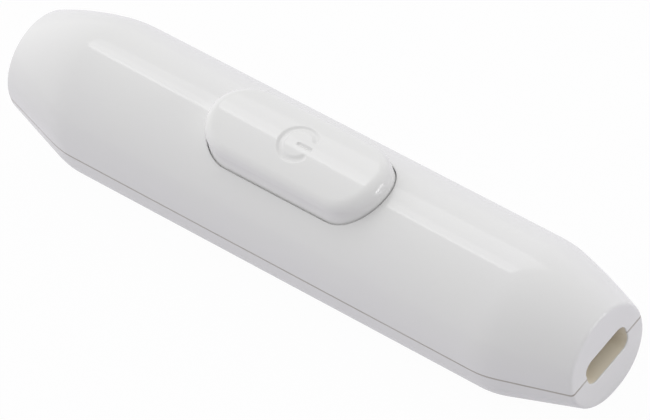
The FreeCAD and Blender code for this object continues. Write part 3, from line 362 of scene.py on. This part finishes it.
def casing_sheet(rows, upper, columns, low):
    """One sheet of a casing half, rows of sections by columns round each: the arch or the haunch
    above the height low, drawn over to the cable entry's outline by mix, with columns below low that
    round the edge at the seam: inwards by edge (1 - cos b) and down to low (1 - sin b)."""
    share = np.linspace(0, 1, columns)[None, :]
    row = {name: both_ends(column) for name, column in rows.items()}
    side = np.concatenate([-np.ones(len(rows["x"]) - 1), np.ones(len(rows["x"]))])[:, None]
    if upper:
        y, z = arch_outline(row["width"], row["crown"], low, share)
    else:
        y, z = rounded_outline(row["width"], row["depth"], row["corner"], low, share)
    entry_y, entry_z = rounded_outline(ENTRY_WIDTH + row["grow"], ENTRY_HEIGHT + row["grow"],
                                       ENTRY_CORNER + row["grow"], low, share)
    y = y + (entry_y - y) * row["mix"]
    z = z + (entry_z - z) * row["mix"]
    x = side * row["x"] + 0 * y
    bend = math.pi / 2 * np.arange(EDGE_COLUMNS, 0, -1)[None, :] / EDGE_COLUMNS
    shift = row["edge"] * (1 - np.cos(bend))
    level = low * (1 - np.sin(bend)) + 0 * shift
    edge_x = side * (row["x"] - shift * np.sin(row["lean"]))
    near_y = y[:, :1] + shift * np.cos(row["lean"])
    far_y = y[:, -1:] - shift * np.cos(row["lean"])
    x = np.concatenate([edge_x, x, edge_x[:, ::-1]], 1)
    y = np.concatenate([near_y, y, far_y[:, ::-1]], 1)
    z = np.concatenate([level, z, level[:, ::-1]], 1)
    return np.stack([x, y, z if upper else -z], -1)


# Windows in the sheets, and the rings of points that fill them again round a hole


def window_edge(sheet, rows, columns):
    """The points of a sheet around a window of its cells, in order."""
    (i0, i1), (j0, j1) = rows, columns
    return np.concatenate([sheet[i0, j0:j1], sheet[i0:i1, j1], sheet[i1, j1:j0:-1], sheet[i1:i0:-1, j0]])


def window_of(sheet, middle, patch):
    """The rows and columns of a sheet that bound a window about a place on its middle line, within
    half a length and half a width of it."""
    reach, span = patch
    x = sheet[:, sheet.shape[1] // 2, 0]
    y = sheet[sheet.shape[0] // 2, :, 1]
    rows = np.flatnonzero(np.abs(x - middle) <= reach + 1e-6)
    columns = np.flatnonzero(np.abs(y) <= span)
    return (rows[0], rows[-1]), (columns[0], columns[-1])


def kept_cells(sheet, windows):
    """True for the cells of a sheet outside its windows."""
    keep = np.ones((sheet.shape[0] - 1, sheet.shape[1] - 1), bool)
    for (i0, i1), (j0, j1) in windows:
        keep[i0:i1, j0:j1] = False
    return keep


def stadium(straight, radius, counts):
    """Points on the middle line of a slot with round ends and their outward directions, in the order
    of window_edge: each of the window's short sides takes a quarter turn of a round end, and each
    long side takes a straight with an eighth turn at both its ends, at equal steps of length."""
    short, long = counts
    end_angle = np.radians(225 - 90 * np.arange(short) / short)
    total = 2 * straight + radius * math.pi / 2
    place = np.arange(long) / long * total - radius * math.pi / 4
    past = np.maximum(place - 2 * straight, 0)
    side_angle = math.pi / 2 + np.maximum(-place, 0) / radius - past / radius
    middle = -straight + np.clip(place, 0, 2 * straight)
    angle = np.concatenate([end_angle, side_angle, end_angle - math.pi, side_angle - math.pi])
    centre = np.concatenate([np.full(short, -straight), middle, np.full(short, straight), -middle])
    direction = np.stack([np.cos(angle), np.sin(angle), 0 * angle], -1)
    return np.stack([centre, 0 * centre, 0 * centre], -1), direction


def rounding(centre, first, last, radius, steps):
    """Rows of a rolled edge: centre + radius times the direction that turns evenly from first to
    last, as (sin((1 - t) a) first + sin(t a) last) / sin a, where a is the angle between them."""
    angle = np.arccos(np.clip((first * last).sum(-1, keepdims=True), -1, 1))
    rows = []
    for share in np.linspace(0, 1, steps):
        direction = (np.sin((1 - share) * angle) * first + np.sin(share * angle) * last) / np.sin(angle)
        rows.append(centre + radius * direction)
    return rows


def spread_rows(first, last, steps, height=None):
    """Rows between two loops of points, evenly apart in plan. Where a height over the plan is given,
    the rows between the two lie on it."""
    rows = []
    for share in np.linspace(0, 1, steps):
        row = first + (last - first) * share
        if height is not None and 0 < share < 1:
            row = np.stack([row[:, 0], row[:, 1], height(row[:, 1])], -1)
        rows.append(row)
    return rows


def rings_about(middle, direction, profile):
    """A ring of points for each radius and height of a profile."""
    return [middle + direction * radius + (0, 0, height) for radius, height in profile]


# Casing halves


def add_half(skin, outside, inside, windows):
    """Adds the outside and inside sheets, the walls of both cable entries and the land along the
    seam. Only the outside is polished."""
    for sheet, finish in ((outside, POLISHED), (inside, MATT)):
        skin.add(sheet, finish, keep=kept_cells(sheet, windows))
    for row in (0, -1):
        skin.add(np.stack([outside[row], inside[row]]), MATT)
    for column in (0, -1):
        skin.add(np.stack([outside[:, column], inside[:, column]]), MATT)


def add_opening(skin, outside, inside, window):
    """The button's opening: the crown, its rolled edge and the polished wall, then the collar inside
    and back to the inside of the crown."""
    (i0, i1), (j0, j1) = window
    middle, direction = stadium(BUTTON_STRAIGHT, OPENING_END, (j1 - j0, i1 - i0))
    crown = arch_height(HALF_WIDTH, CROWN)
    inner_crown = arch_height(HALF_WIDTH - WALL, CROWN - WALL)
    centre_level, radius = arch_circle(HALF_WIDTH, CROWN)
    centre = middle + direction * (OPENING_END + EDGE)
    centre[:, 2] = centre_level + np.sqrt((radius - EDGE) ** 2 - centre[:, 1] ** 2)
    on_crown = np.stack([0 * centre[:, 1], centre[:, 1], centre[:, 2] - centre_level], -1)
    edge_rows = rounding(centre, on_crown / (radius - EDGE), -direction, EDGE, 6)
    rings = spread_rows(window_edge(outside, *window), edge_rows[0], 14, crown)[:-1] + edge_rows
    skin.add(np.array(rings), POLISHED, wrap=True)
    wall_foot = middle + direction * OPENING_END + (0, 0, COLLAR_FOOT)
    skin.add(np.array([rings[-1], wall_foot]), POLISHED, wrap=True)

    # The collar's foot reaches no further across than the inside of the crown at that level
    collar = middle + direction * COLLAR_END
    widest = math.sqrt((HALF_WIDTH - WALL) ** 2 - COLLAR_FOOT**2) - 0.02
    across = np.clip(collar[:, 1], -widest, widest)
    top = inner_crown(across)
    collar_top = np.stack([collar[:, 0], across, top], -1)
    collar_foot = np.stack([collar[:, 0], across, np.minimum(COLLAR_FOOT, top)], -1)
    rings = [wall_foot, collar_foot]
    rings += spread_rows(collar_top, window_edge(inside, *window), 5, inner_crown)
    skin.add(np.array(rings), MATT, wrap=True)


def upper_half(materials):
    """The upper casing half, with the button's opening and its collar, the rebate for the lip and
    the two screw bosses."""
    rows_out, rows_in = casing_rows()
    outside = casing_sheet(rows_out, True, CROWN_COLUMNS, EDGE)
    inside = casing_sheet(rows_in, True, CROWN_COLUMNS, REBATE_TOP)
    rebate = np.abs(inside[:, 0, 0]) <= REBATE_REACH
    for columns, side in ((slice(0, EDGE_COLUMNS), -1), (slice(-EDGE_COLUMNS, None), 1)):
        inside[rebate, columns, 1] = side * (HALF_WIDTH - WALL + REBATE_DEPTH)
        inside[:, columns, 2] = np.linspace(0, REBATE_TOP, EDGE_COLUMNS)[::-side]
    window = window_of(outside, 0, OPENING_PATCH)
    skin = Skin()
    add_half(skin, outside, inside, [window])
    add_opening(skin, outside, inside, window)
    boss = [(0, THREAD_TOP), (SCREW_HOLE, THREAD_TOP), (SCREW_HOLE, UPPER_BOSS_FOOT),
            (BOSS, UPPER_BOSS_FOOT), (BOSS, UPPER_BOSS_TOP), (0, UPPER_BOSS_TOP)]
    for side in (1, -1):
        skin.lathe(side * SCREW_PLACE, 0, boss, MATT)
    return skin.piece("crown_half", "casing", materials, "upper_shell")


def add_screw_hole(skin, outside, inside, window, place):
    """A countersunk screw hole: the underside, its rolled edge and the cone for the head, then up
    through the boss and back down to the floor inside."""
    outer_loop = window_edge(outside, *window)
    angle = np.arctan2(outer_loop[:, 1], outer_loop[:, 0] - place)
    direction = np.stack([np.cos(angle), np.sin(angle), 0 * angle], -1)
    middle = np.array([place, 0, 0])
    centre = rings_about(middle, direction, [(HEAD_HOLE + HEAD_EDGE, HEAD_EDGE - SEAM)])[0]
    down = np.broadcast_to((0.0, 0.0, -1.0), direction.shape)
    edge_rows = rounding(centre, down, -direction, HEAD_EDGE, 5)
    rings = spread_rows(outer_loop, edge_rows[0], 4)[:-1] + edge_rows
    rings += rings_about(middle, direction, [(HEAD_HOLE, HEAD_FOOT), (SCREW_HOLE, HEAD_TOP)])
    skin.add(np.array(rings), POLISHED, wrap=True)
    boss = [(SCREW_HOLE, HEAD_TOP), (SCREW_HOLE, LOWER_BOSS_TOP), (BOSS, LOWER_BOSS_TOP),
            (BOSS, WALL - SEAM)]
    rings = rings_about(middle, direction, boss)
    rings = rings[:-1] + spread_rows(rings[-1], window_edge(inside, *window), 3)
    skin.add(np.array(rings), MATT, wrap=True)


def lower_half(materials):
    """The lower casing half, with the countersunk screw holes and their bosses, the posts for the
    cord clamps, the ribs under the cord and the locating lip."""
    rows_out, rows_in = casing_rows()
    outside = casing_sheet(rows_out, False, HAUNCH_COLUMNS, EDGE)
    inside = casing_sheet(rows_in, False, HAUNCH_COLUMNS, EDGE)
    windows = [window_of(outside, side * SCREW_PLACE, SCREW_PATCH) for side in (-1, 1)]
    skin = Skin()
    add_half(skin, outside, inside, windows)
    post = [(0, POST_FOOT), (POST, POST_FOOT), (POST, POST_TOP), (POST_HOLE, POST_TOP),
            (POST_HOLE, POST_HOLE_FOOT), (0, POST_HOLE_FOOT)]
    inner = HALF_WIDTH - WALL
    for window, side in zip(windows, (-1, 1)):
        add_screw_hole(skin, outside, inside, window, side * SCREW_PLACE)
        place = side * CLAMP_PLACE
        for across in (-1, 1):
            skin.lathe(place, across * CLAMP_SPAN, post, MATT)
        skin.bar((place - RIB_THICK / 2, -ENTRY_WIDTH, RIB_FOOT),
                 (place + RIB_THICK / 2, ENTRY_WIDTH, RIB_TOP), MATT)
        skin.bar((-LIP_REACH, side * inner, -WALL),
                 (LIP_REACH, side * (inner + LIP_THICK), LIP_TOP), MATT)
    return skin.piece("base_half", "casing", materials, "lower_shell")


# Push button and springs


def symbol_groove(x, y):
    """Depth of the engraved standby symbol over the plan: the distance to an open ring about the
    middle and to the bar in its opening, run through a soft step from the line's middle outwards."""
    x = x - SYMBOL_PLACE
    angle = np.arctan2(y, x)
    turned = np.clip(np.abs(angle), RING_GAP, math.pi)
    ring_x = RING_RADIUS * np.cos(turned)
    ring_y = RING_RADIUS * np.sin(turned) * np.where(y < 0, -1, 1)
    to_ring = np.hypot(x - ring_x, y - ring_y)
    to_bar = np.hypot(x - np.clip(x, BAR_START, BAR_END), y)
    away = np.minimum((to_ring - RING_LINE) / RING_FADE, (to_bar - BAR_LINE) / BAR_FADE)
    near = np.clip(away, 0, 1)
    return SYMBOL_DEPTH * (1 - near**2 * (3 - 2 * near))


def button_plan():
    """Points on the middle line of the button's plan, a slot with round ends, and their outward
    directions: close together beside the symbol and round the ends."""
    beside = np.linspace(-SYMBOL_REACH, SYMBOL_REACH, SYMBOL_COLUMNS)
    onward = np.linspace(SYMBOL_REACH, BUTTON_STRAIGHT, STRAIGHT_COLUMNS)[1:]
    straight = np.concatenate([-onward[::-1], beside, onward])
    end = np.radians(np.linspace(90, -90, ROUND_COLUMNS)[1:-1])
    along = np.concatenate([straight, np.full(len(end), BUTTON_STRAIGHT), straight[::-1],
                            np.full(len(end), -BUTTON_STRAIGHT)])
    sideways = np.full(len(straight), math.pi / 2)
    angle = np.concatenate([sideways, end, -sideways, end + math.pi])
    direction = np.stack([np.cos(angle), np.sin(angle), 0 * angle], -1)
    direction[np.abs(direction) < 1e-12] = 0.0
    return np.stack([along, 0 * along, 0 * along], -1), direction


def button_cap(materials):
    """The push button: a rounded top about the casing's middle line, an edge rolled with a ball
    between top and side, a skirt that widens by its draft, the flange that keeps it in, the hollow
    inside and two pads over the slide."""
    middle, direction = button_plan()
    reach = BUTTON_ROUND - BUTTON_EDGE
    centre = middle + direction * (BUTTON_END - BUTTON_EDGE)
    centre[:, 2] = np.sqrt(reach**2 - centre[:, 1] ** 2)
    on_top = np.stack([0 * centre[:, 1], centre[:, 1], centre[:, 2]], -1) / reach
    edge_rows = rounding(centre, on_top, direction, BUTTON_EDGE, BUTTON_EDGE_ROWS)
    top_rows = []
    for share in np.linspace(0, 1, BUTTON_TOP_ROWS)[:-1]:
        plan = middle + (edge_rows[0] - middle) * share
        height = np.sqrt(BUTTON_ROUND**2 - plan[:, 1] ** 2) - symbol_groove(plan[:, 0], plan[:, 1])
        top_rows.append(np.stack([plan[:, 0], plan[:, 1], height], -1))

    # The skirt starts just below the crown beside it, and its draft narrows the gap further down
    beside = arch_height(HALF_WIDTH, CROWN)(direction[:, 1] * OPENING_END)
    drafted = BUTTON_END + BUTTON_DRAFT
    side_rows = []
    for radius, sunk in ((BUTTON_END, 0.05), (drafted, 0.3)):
        row = middle + direction * radius
        row[:, 2] = beside - sunk
        side_rows.append(row)
    roof = math.sqrt(BUTTON_ROUND**2 - BUTTON_HOLLOW**2) - BUTTON_WALL
    profile = [(drafted, FLANGE_TOP), (FLANGE_END, FLANGE_TOP), (FLANGE_END, FLANGE_FOOT),
               (BUTTON_HOLLOW, FLANGE_FOOT), (BUTTON_HOLLOW, roof), (0, roof)]
    skirt = rings_about(middle, direction, profile)
    skin = Skin()
    skin.add(np.array(top_rows + edge_rows + side_rows + skirt[:1]), wrap=True)
    skin.add(np.array(skirt), wrap=True)
    for side in (1, -1):
        place = side * PAD_PLACE
        skin.bar((place - PAD_THICK / 2, -BUTTON_HOLLOW, PAD_FOOT),
                 (place + PAD_THICK / 2, BUTTON_HOLLOW, roof + PAD_ROOT), POLISHED)
    return skin.piece("button_cap", "button", materials, "push_button")


def coil_spring(name, node, materials):
    """A return spring with flat end turns: a round wire carried along a helix. The height at each
    turn follows a line that is slow in the first and last turn, and the wire's section is the
    circle wire (cos b N + sin b (T x N)) about the point R (cos a, sin a), with N pointing outwards
    and T along the wire."""
    low, high = (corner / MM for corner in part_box(node))
    tall = high.z - low.z - 2 * SPRING_WIRE
    close = 2.1 * SPRING_WIRE
    turn = np.linspace(0, SPRING_TURNS, SPRING_TURNS * COIL_STEPS + 1)
    rise = np.interp(turn, [0, 1, SPRING_TURNS - 1, SPRING_TURNS], [0, close, tall - close, tall])
    angle = 2 * math.pi * turn
    radius = (high.x - low.x) / 2 - SPRING_WIRE
    outward = np.stack([np.cos(angle), np.sin(angle), 0 * angle], -1)
    middle = np.array([(low.x + high.x) / 2, (low.y + high.y) / 2, low.z + SPRING_WIRE - SEAM])
    line = middle + radius * outward
    line[:, 2] += rise
    along = np.gradient(line, axis=0)
    along /= np.linalg.norm(along, axis=1, keepdims=True)
    level = np.cross(along, outward)
    section = np.linspace(0, 2 * math.pi, WIRE_STEPS, endpoint=False)[None, :, None]
    round_wire = np.cos(section) * outward[:, None] + np.sin(section) * level[:, None]
    tube = line[:, None] + SPRING_WIRE * round_wire
    ends = [np.repeat(line[end][None, None], WIRE_STEPS, 1) for end in (0, -1)]
    skin = Skin()
    skin.add(np.concatenate([ends[0], tube, ends[1]]), wrap=True)
    spring = skin.piece(name, "casing", materials, node)
    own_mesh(spring)
    return spring


# Shader nodes


class Wire:
    """A socket of a node tree. Arithmetic on it adds Math nodes."""

    def __init__(self, graph, socket):
        self.graph = graph
        self.socket = socket

    def math(self, operation, *values):
        return self.graph.add("ShaderNodeMath", {"operation": operation}, dict(enumerate(values)))

    def __add__(self, other):
        return self.math("ADD", self, other)

    def __radd__(self, other):
        return self.math("ADD", other, self)

    def __sub__(self, other):
        return self.math("SUBTRACT", self, other)

    def __rsub__(self, other):
        return self.math("SUBTRACT", other, self)

    def __mul__(self, other):
        return self.math("MULTIPLY", self, other)

    def __rmul__(self, other):
        return self.math("MULTIPLY", other, self)


class Graph:
    """The node tree of one material or world."""

    def __init__(self, tree):
        self.tree = tree
        tree.nodes.clear()

    def add(self, kind, settings=None, inputs=None, output=0):
        """Adds one node: its settings first, then the values or links of its inputs."""
        node = self.tree.nodes.new(kind)
        for name, value in (settings or {}).items():
            if name == "stops":
                self.set_stops(node.color_ramp, value)
            else:
                setattr(node, name, value)
        for name, value in (inputs or {}).items():
            if isinstance(value, Wire):
                self.tree.links.new(value.socket, node.inputs[name])
            else:
                node.inputs[name].default_value = value
        return Wire(self, node.outputs[output]) if node.outputs else node

    @staticmethod
    def set_stops(ramp, stops):
        """Gives a colour ramp its stops, each a position and a colour."""
        while len(ramp.elements) < len(stops):
            ramp.elements.new(1.0)
        for element, (position, colour) in zip(ramp.elements, stops):
            element.position = position
            element.color = colour

    def noise(self, place, size, detail):
        """Noise from 0 to 1 whose spots are about size across, in millimetres."""
        inputs = {"Vector": place, "Scale": 1 / (size * MM), "Detail": detail}
        return self.add("ShaderNodeTexNoise", {}, inputs)

    def blend(self, share, first, second):
        """The first colour where share is 0 and the second where it is 1."""
        return self.add("ShaderNodeMix", {"data_type": "RGBA"}, {0: share, 6: first, 7: second}, output=2)

    def bump(self, height, distance, normal=None):
        """A surface raised by height, from 0 to 1, times a distance in millimetres."""
        inputs = {"Height": height, "Strength": 1.0, "Distance": distance * MM}
        if normal is not None:
            inputs["Normal"] = normal
        return self.add("ShaderNodeBump", {}, inputs)

    def surface(self, shader):
        self.add("ShaderNodeOutputMaterial", {}, {"Surface": shader})


def grey(value):
    return (value, value, value, 1.0)


def new_finish(name):
    """A new material and the graph of its nodes."""
    material = bpy.data.materials.new(name)
    material.use_nodes = True
    return material, Graph(material.node_tree)


SEAM_DUST_AND_SHADE_WIDTH = 0.2


def moulded_plastic(name, colour, drift_colour, roughness, seam_dust_and_shade_colour=None):
    """A glossy moulded plastic: a faint drift of colour, an uneven polish with a few fine scuffs, the
    slow ripple and orange peel of the mould, and where a seam colour is given a darker line along the
    seam between the halves that is partly dust and partly painted shade."""
    material, graph = new_finish(name)
    place = graph.add("ShaderNodeTexCoord", output="Object")
    drift = graph.noise(place, 9.0, 3.0)
    base = graph.blend(drift, colour, drift_colour)
    if seam_dust_and_shade_colour is not None:
        # Darker colour within a band about the seam's height: partly dust, partly painted shade of the
        # groove between the halves
        height = graph.add("ShaderNodeSeparateXYZ", {}, {0: place}, output="Z")
        away = graph.add("ShaderNodeMath", {"operation": "ABSOLUTE"}, {0: height - SEAM * MM})
        stops = {"stops": [(0.0, grey(1)), (0.45, grey(0.75)), (1.0, grey(0))]}
        dust_and_shade_band = graph.add("ShaderNodeValToRGB", stops, {0: away * (1 / (SEAM_DUST_AND_SHADE_WIDTH * MM))})
        broken = graph.noise(place, 3.0, 2.0) * 0.3 + 0.7
        base = graph.blend(dust_and_shade_band * broken, base, seam_dust_and_shade_colour)
    speck = graph.noise(place, 0.35, 2.0)
    long_scale = graph.add("ShaderNodeMapping", {"vector_type": "POINT"}, {0: place, 3: (0.2, 1.3, 1.0)})
    scuff = graph.noise(long_scale, 0.5, 4.0)
    stops = {"stops": [(0.0, grey(0)), (0.62, grey(0)), (0.74, grey(1))]}
    marks = graph.add("ShaderNodeValToRGB", stops, {0: scuff})
    polish = drift * 0.04 + speck * 0.03 + marks * 0.05 + (roughness - 0.04)
    ripple = graph.bump(graph.noise(place, 7.0, 1.0), 0.006)
    peel = graph.bump(graph.noise(place, 0.6, 1.0), 0.0006, ripple)
    inputs = {"Base Color": base, "Roughness": polish, "Normal": peel, "IOR": 1.5}
    graph.surface(graph.add("ShaderNodeBsdfPrincipled", {}, inputs))
    return material


def moulded_inside(name, colour, drift_colour, roughness):
    """The unpolished inside of a moulding: matt, finely grained, a little uneven in tone."""
    material, graph = new_finish(name)
    place = graph.add("ShaderNodeTexCoord", output="Object")
    cloud = graph.noise(place, 3.0, 4.0)
    grain = graph.noise(place, 0.12, 2.0)
    base = graph.blend(cloud, colour, drift_colour)
    inputs = {
        "Base Color": base,
        "Roughness": grain * 0.15 + (roughness - 0.07),
        "Normal": graph.bump(grain, 0.004),
    }
    graph.surface(graph.add("ShaderNodeBsdfPrincipled", {}, inputs))
    return material


def drawn_metal(name, colour, tarnish_colour, roughness, streak=(1.0, 1.0, 1.0)):
    """A metal with fine drawing marks along streak's long way and a cloudy tarnish."""
    material, graph = new_finish(name)
    place = graph.add("ShaderNodeTexCoord", output="Object")
    cloud = graph.noise(place, 2.0, 4.0)
    base = graph.blend(cloud, colour, tarnish_colour)
    drawn = graph.add("ShaderNodeMapping", {"vector_type": "POINT"}, {0: place, 3: streak})
    mark = graph.noise(drawn, 0.12, 3.0)
    inputs = {
        "Base Color": base,
        "Metallic": 1.0,
        "Roughness": cloud * 0.15 + mark * 0.1 + (roughness - 0.12),
        "Normal": graph.bump(mark, 0.0015),
    }
    graph.surface(graph.add("ShaderNodeBsdfPrincipled", {}, inputs))
    return material


# The casing's last colour is the seam line's dust and painted shade
casing_plastic = moulded_plastic(
    "casing_plastic", (0.80, 0.80, 0.79, 1), (0.79, 0.785, 0.795, 1), 0.08, (0.34, 0.30, 0.26, 1)
)
button_plastic = moulded_plastic(
    "button_plastic", (0.81, 0.81, 0.80, 1), (0.80, 0.795, 0.80, 1), 0.10
)
# The inside's warm tan, paler than the outside, is painted light: it stands in for light bouncing inside
# the white casing and shining through its thin walls
inner_plastic = moulded_inside("inner_plastic", (0.96, 0.90, 0.76, 1), (0.94, 0.87, 0.73, 1), 0.5)
slide_plastic = moulded_inside("slide_plastic", (0.50, 0.50, 0.48, 1), (0.44, 0.44, 0.42, 1), 0.4)
block_plastic = moulded_inside("block_plastic", (0.62, 0.57, 0.47, 1), (0.57, 0.52, 0.42, 1), 0.45)
brass = drawn_metal("brass", (0.78, 0.56, 0.26, 1), (0.66, 0.46, 0.22, 1), 0.25, (0.1, 1.0, 1.0))
spring_steel = drawn_metal("spring_steel", (0.55, 0.55, 0.56, 1), (0.47, 0.47, 0.49, 1), 0.22)
zinc_steel = drawn_metal("zinc_steel", (0.66, 0.67, 0.68, 1), (0.57, 0.59, 0.60, 1), 0.3)

NODE_FINISHES = {
    "upper_shell": casing_plastic,
    "lower_shell": casing_plastic,
    "push_button": button_plastic,
    "plunger": slide_plastic,
    "contact_block": block_plastic,
    "bridge_contact": brass,
    "fixed_contact": brass,
    "terminal": brass,
    "terminal_screw": zinc_steel,
    "clamp_screw": zinc_steel,
    "casing_screw": zinc_steel,
    "cord_clamp": zinc_steel,
    "return_spring": spring_steel,
    "latch_pin": spring_steel,
}

for name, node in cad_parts.items():
    node.data.materials.clear()
    node.data.materials.append(NODE_FINISHES[name.rstrip("_0123456789")])

upper_half([casing_plastic, inner_plastic])
lower_half([casing_plastic, inner_plastic])
button_cap([button_plastic])
for number in (1, 2):
    coil_spring(f"coil_spring_{number}", f"return_spring_{number}", [spring_steel])

# Camera, from the photograph's perspective

CAMERA_LENS = 362.112
CAMERA_PLACE = Vector((380.7936, -268.9654, 580.9058))
CAMERA_RIGHT = Vector((0.75917956, 0.61461745, -0.21422369))
CAMERA_UP = Vector((-0.39957260, 0.69990027, 0.59201465))
CAMERA_BACK = Vector((0.51379775, -0.36384751, 0.77693427))


def stand(thing, place, x, y, z):
    """Puts a thing at a place in millimetres, with its own axes along x, y and z."""
    thing.matrix_world = Matrix.Translation(place * MM) @ Matrix((x, y, z)).transposed().to_4x4()


camera = bpy.data.objects.new("camera", bpy.data.cameras.new("camera"))
bpy.context.scene.collection.objects.link(camera)
bpy.context.scene.camera = camera
camera.data.sensor_width = 36.0
camera.data.lens = CAMERA_LENS
camera.data.clip_start = 0.01
camera.data.clip_end = 10.0
stand(camera, CAMERA_PLACE, CAMERA_RIGHT, CAMERA_UP, CAMERA_BACK)

# Studio: a pale floor, a soft room that is brightest behind the far end, and a long softbox


def seen_white(graph, lit, shown, mirrored):
    """What the eye sees, and what gloss and glass show: shares of plain white over the lit shader."""
    white = graph.add("ShaderNodeEmission", {}, {"Color": grey(1.0), "Strength": 1.0})
    eye, gloss, glass = (
        graph.add("ShaderNodeLightPath", output=name)
        for name in ("Is Camera Ray", "Is Glossy Ray", "Is Transmission Ray")
    )
    direct = eye.math("MAXIMUM", eye, glass) * shown
    share = direct.math("MAXIMUM", direct, gloss * mirrored)
    return graph.add("ShaderNodeMixShader", {}, {0: share, 1: lit, 2: white})


FLOOR_REACH = 3
floor_corners = [(x * FLOOR_REACH, y * FLOOR_REACH, 0) for x, y in ((-1, -1), (1, -1), (1, 1), (-1, 1))]
floor_mesh = bpy.data.meshes.new("floor")
floor_mesh.from_pydata(floor_corners, [], [(0, 1, 2, 3)])
floor = bpy.data.objects.new("floor", floor_mesh)
bpy.context.scene.collection.objects.link(floor)
floor_finish, graph = new_finish("pale_floor")
matt = graph.add("ShaderNodeBsdfPrincipled", {}, {"Base Color": (0.70, 0.68, 0.74, 1), "Roughness": 0.9})
graph.surface(seen_white(graph, matt, 0.97, 0.5))
floor_mesh.materials.append(floor_finish)

ROOM_LIGHT = {"near": 0.12, "far": 1.36, "side": 0.16}
world = bpy.data.worlds.new("studio")
bpy.context.scene.world = world
world.use_nodes = True
graph = Graph(world.node_tree)
sky = graph.add("ShaderNodeTexCoord", output="Generated")
along = graph.add("ShaderNodeSeparateXYZ", {}, {0: sky}, output="X")
across = graph.add("ShaderNodeSeparateXYZ", {}, {0: sky}, output="Y")
level = (
    (along + 1) * (ROOM_LIGHT["near"] / 2)
    + (1 - along) * (ROOM_LIGHT["far"] / 2)
    + (across + 1) * (ROOM_LIGHT["side"] / 2)
)
room = graph.add("ShaderNodeBackground", {}, {"Color": grey(1.0), "Strength": level})
graph.add("ShaderNodeOutputWorld", {}, {"Surface": seen_white(graph, room, 1.0, 1.0)})


def softbox(name, corner, side, depth, radiance):
    """A rectangular lamp that fills the space between two sides from a corner and shines at the
    casing. Its power is radiance times pi times its area."""
    lamp = bpy.data.lights.new(name, "AREA")
    lamp.shape = "RECTANGLE"
    lamp.size = side.length * MM
    lamp.size_y = depth.length * MM
    lamp.energy = radiance * math.pi * lamp.size * lamp.size_y
    middle = corner + (side + depth) / 2
    x, y = side.normalized(), depth.normalized()
    z = x.cross(y)
    if z.dot(middle) < 0:
        x, z = -x, -z
    holder = bpy.data.objects.new(name, lamp)
    bpy.context.scene.collection.objects.link(holder)
    stand(holder, middle, x, y, z)


# The long softbox in three strips from its bright rim back, each with where it starts along the box,
# where it lies across it, its depth and its radiance. A card lights the near end face.

BOX_SIDE = Vector((0.9235, -0.3836, 0.0))
BOX_DEPTH = Vector((0.3836, 0.9235, 0.0))
BOX_PLACE = Vector((-186, 90, 250)) - 100 * BOX_SIDE
BOX_LENGTH = 190
BOX_STRIPS = {
    "softbox_rim": (50, 0, 14, 2.4),
    "softbox": (25, 14, 36, 1.5),
    "softbox_back": (0, 50, 150, 0.8),
}
for name, (start, offset, depth, radiance) in BOX_STRIPS.items():
    corner = BOX_PLACE + start * BOX_SIDE + offset * BOX_DEPTH
    softbox(name, corner, (BOX_LENGTH - start) * BOX_SIDE, depth * BOX_DEPTH, radiance)
softbox("end_card", Vector((330, 40, 10)), Vector((0, 200, 0)), Vector((0, 0, 120)), 4.2)

bpy.context.scene.view_settings.view_transform = "Standard"
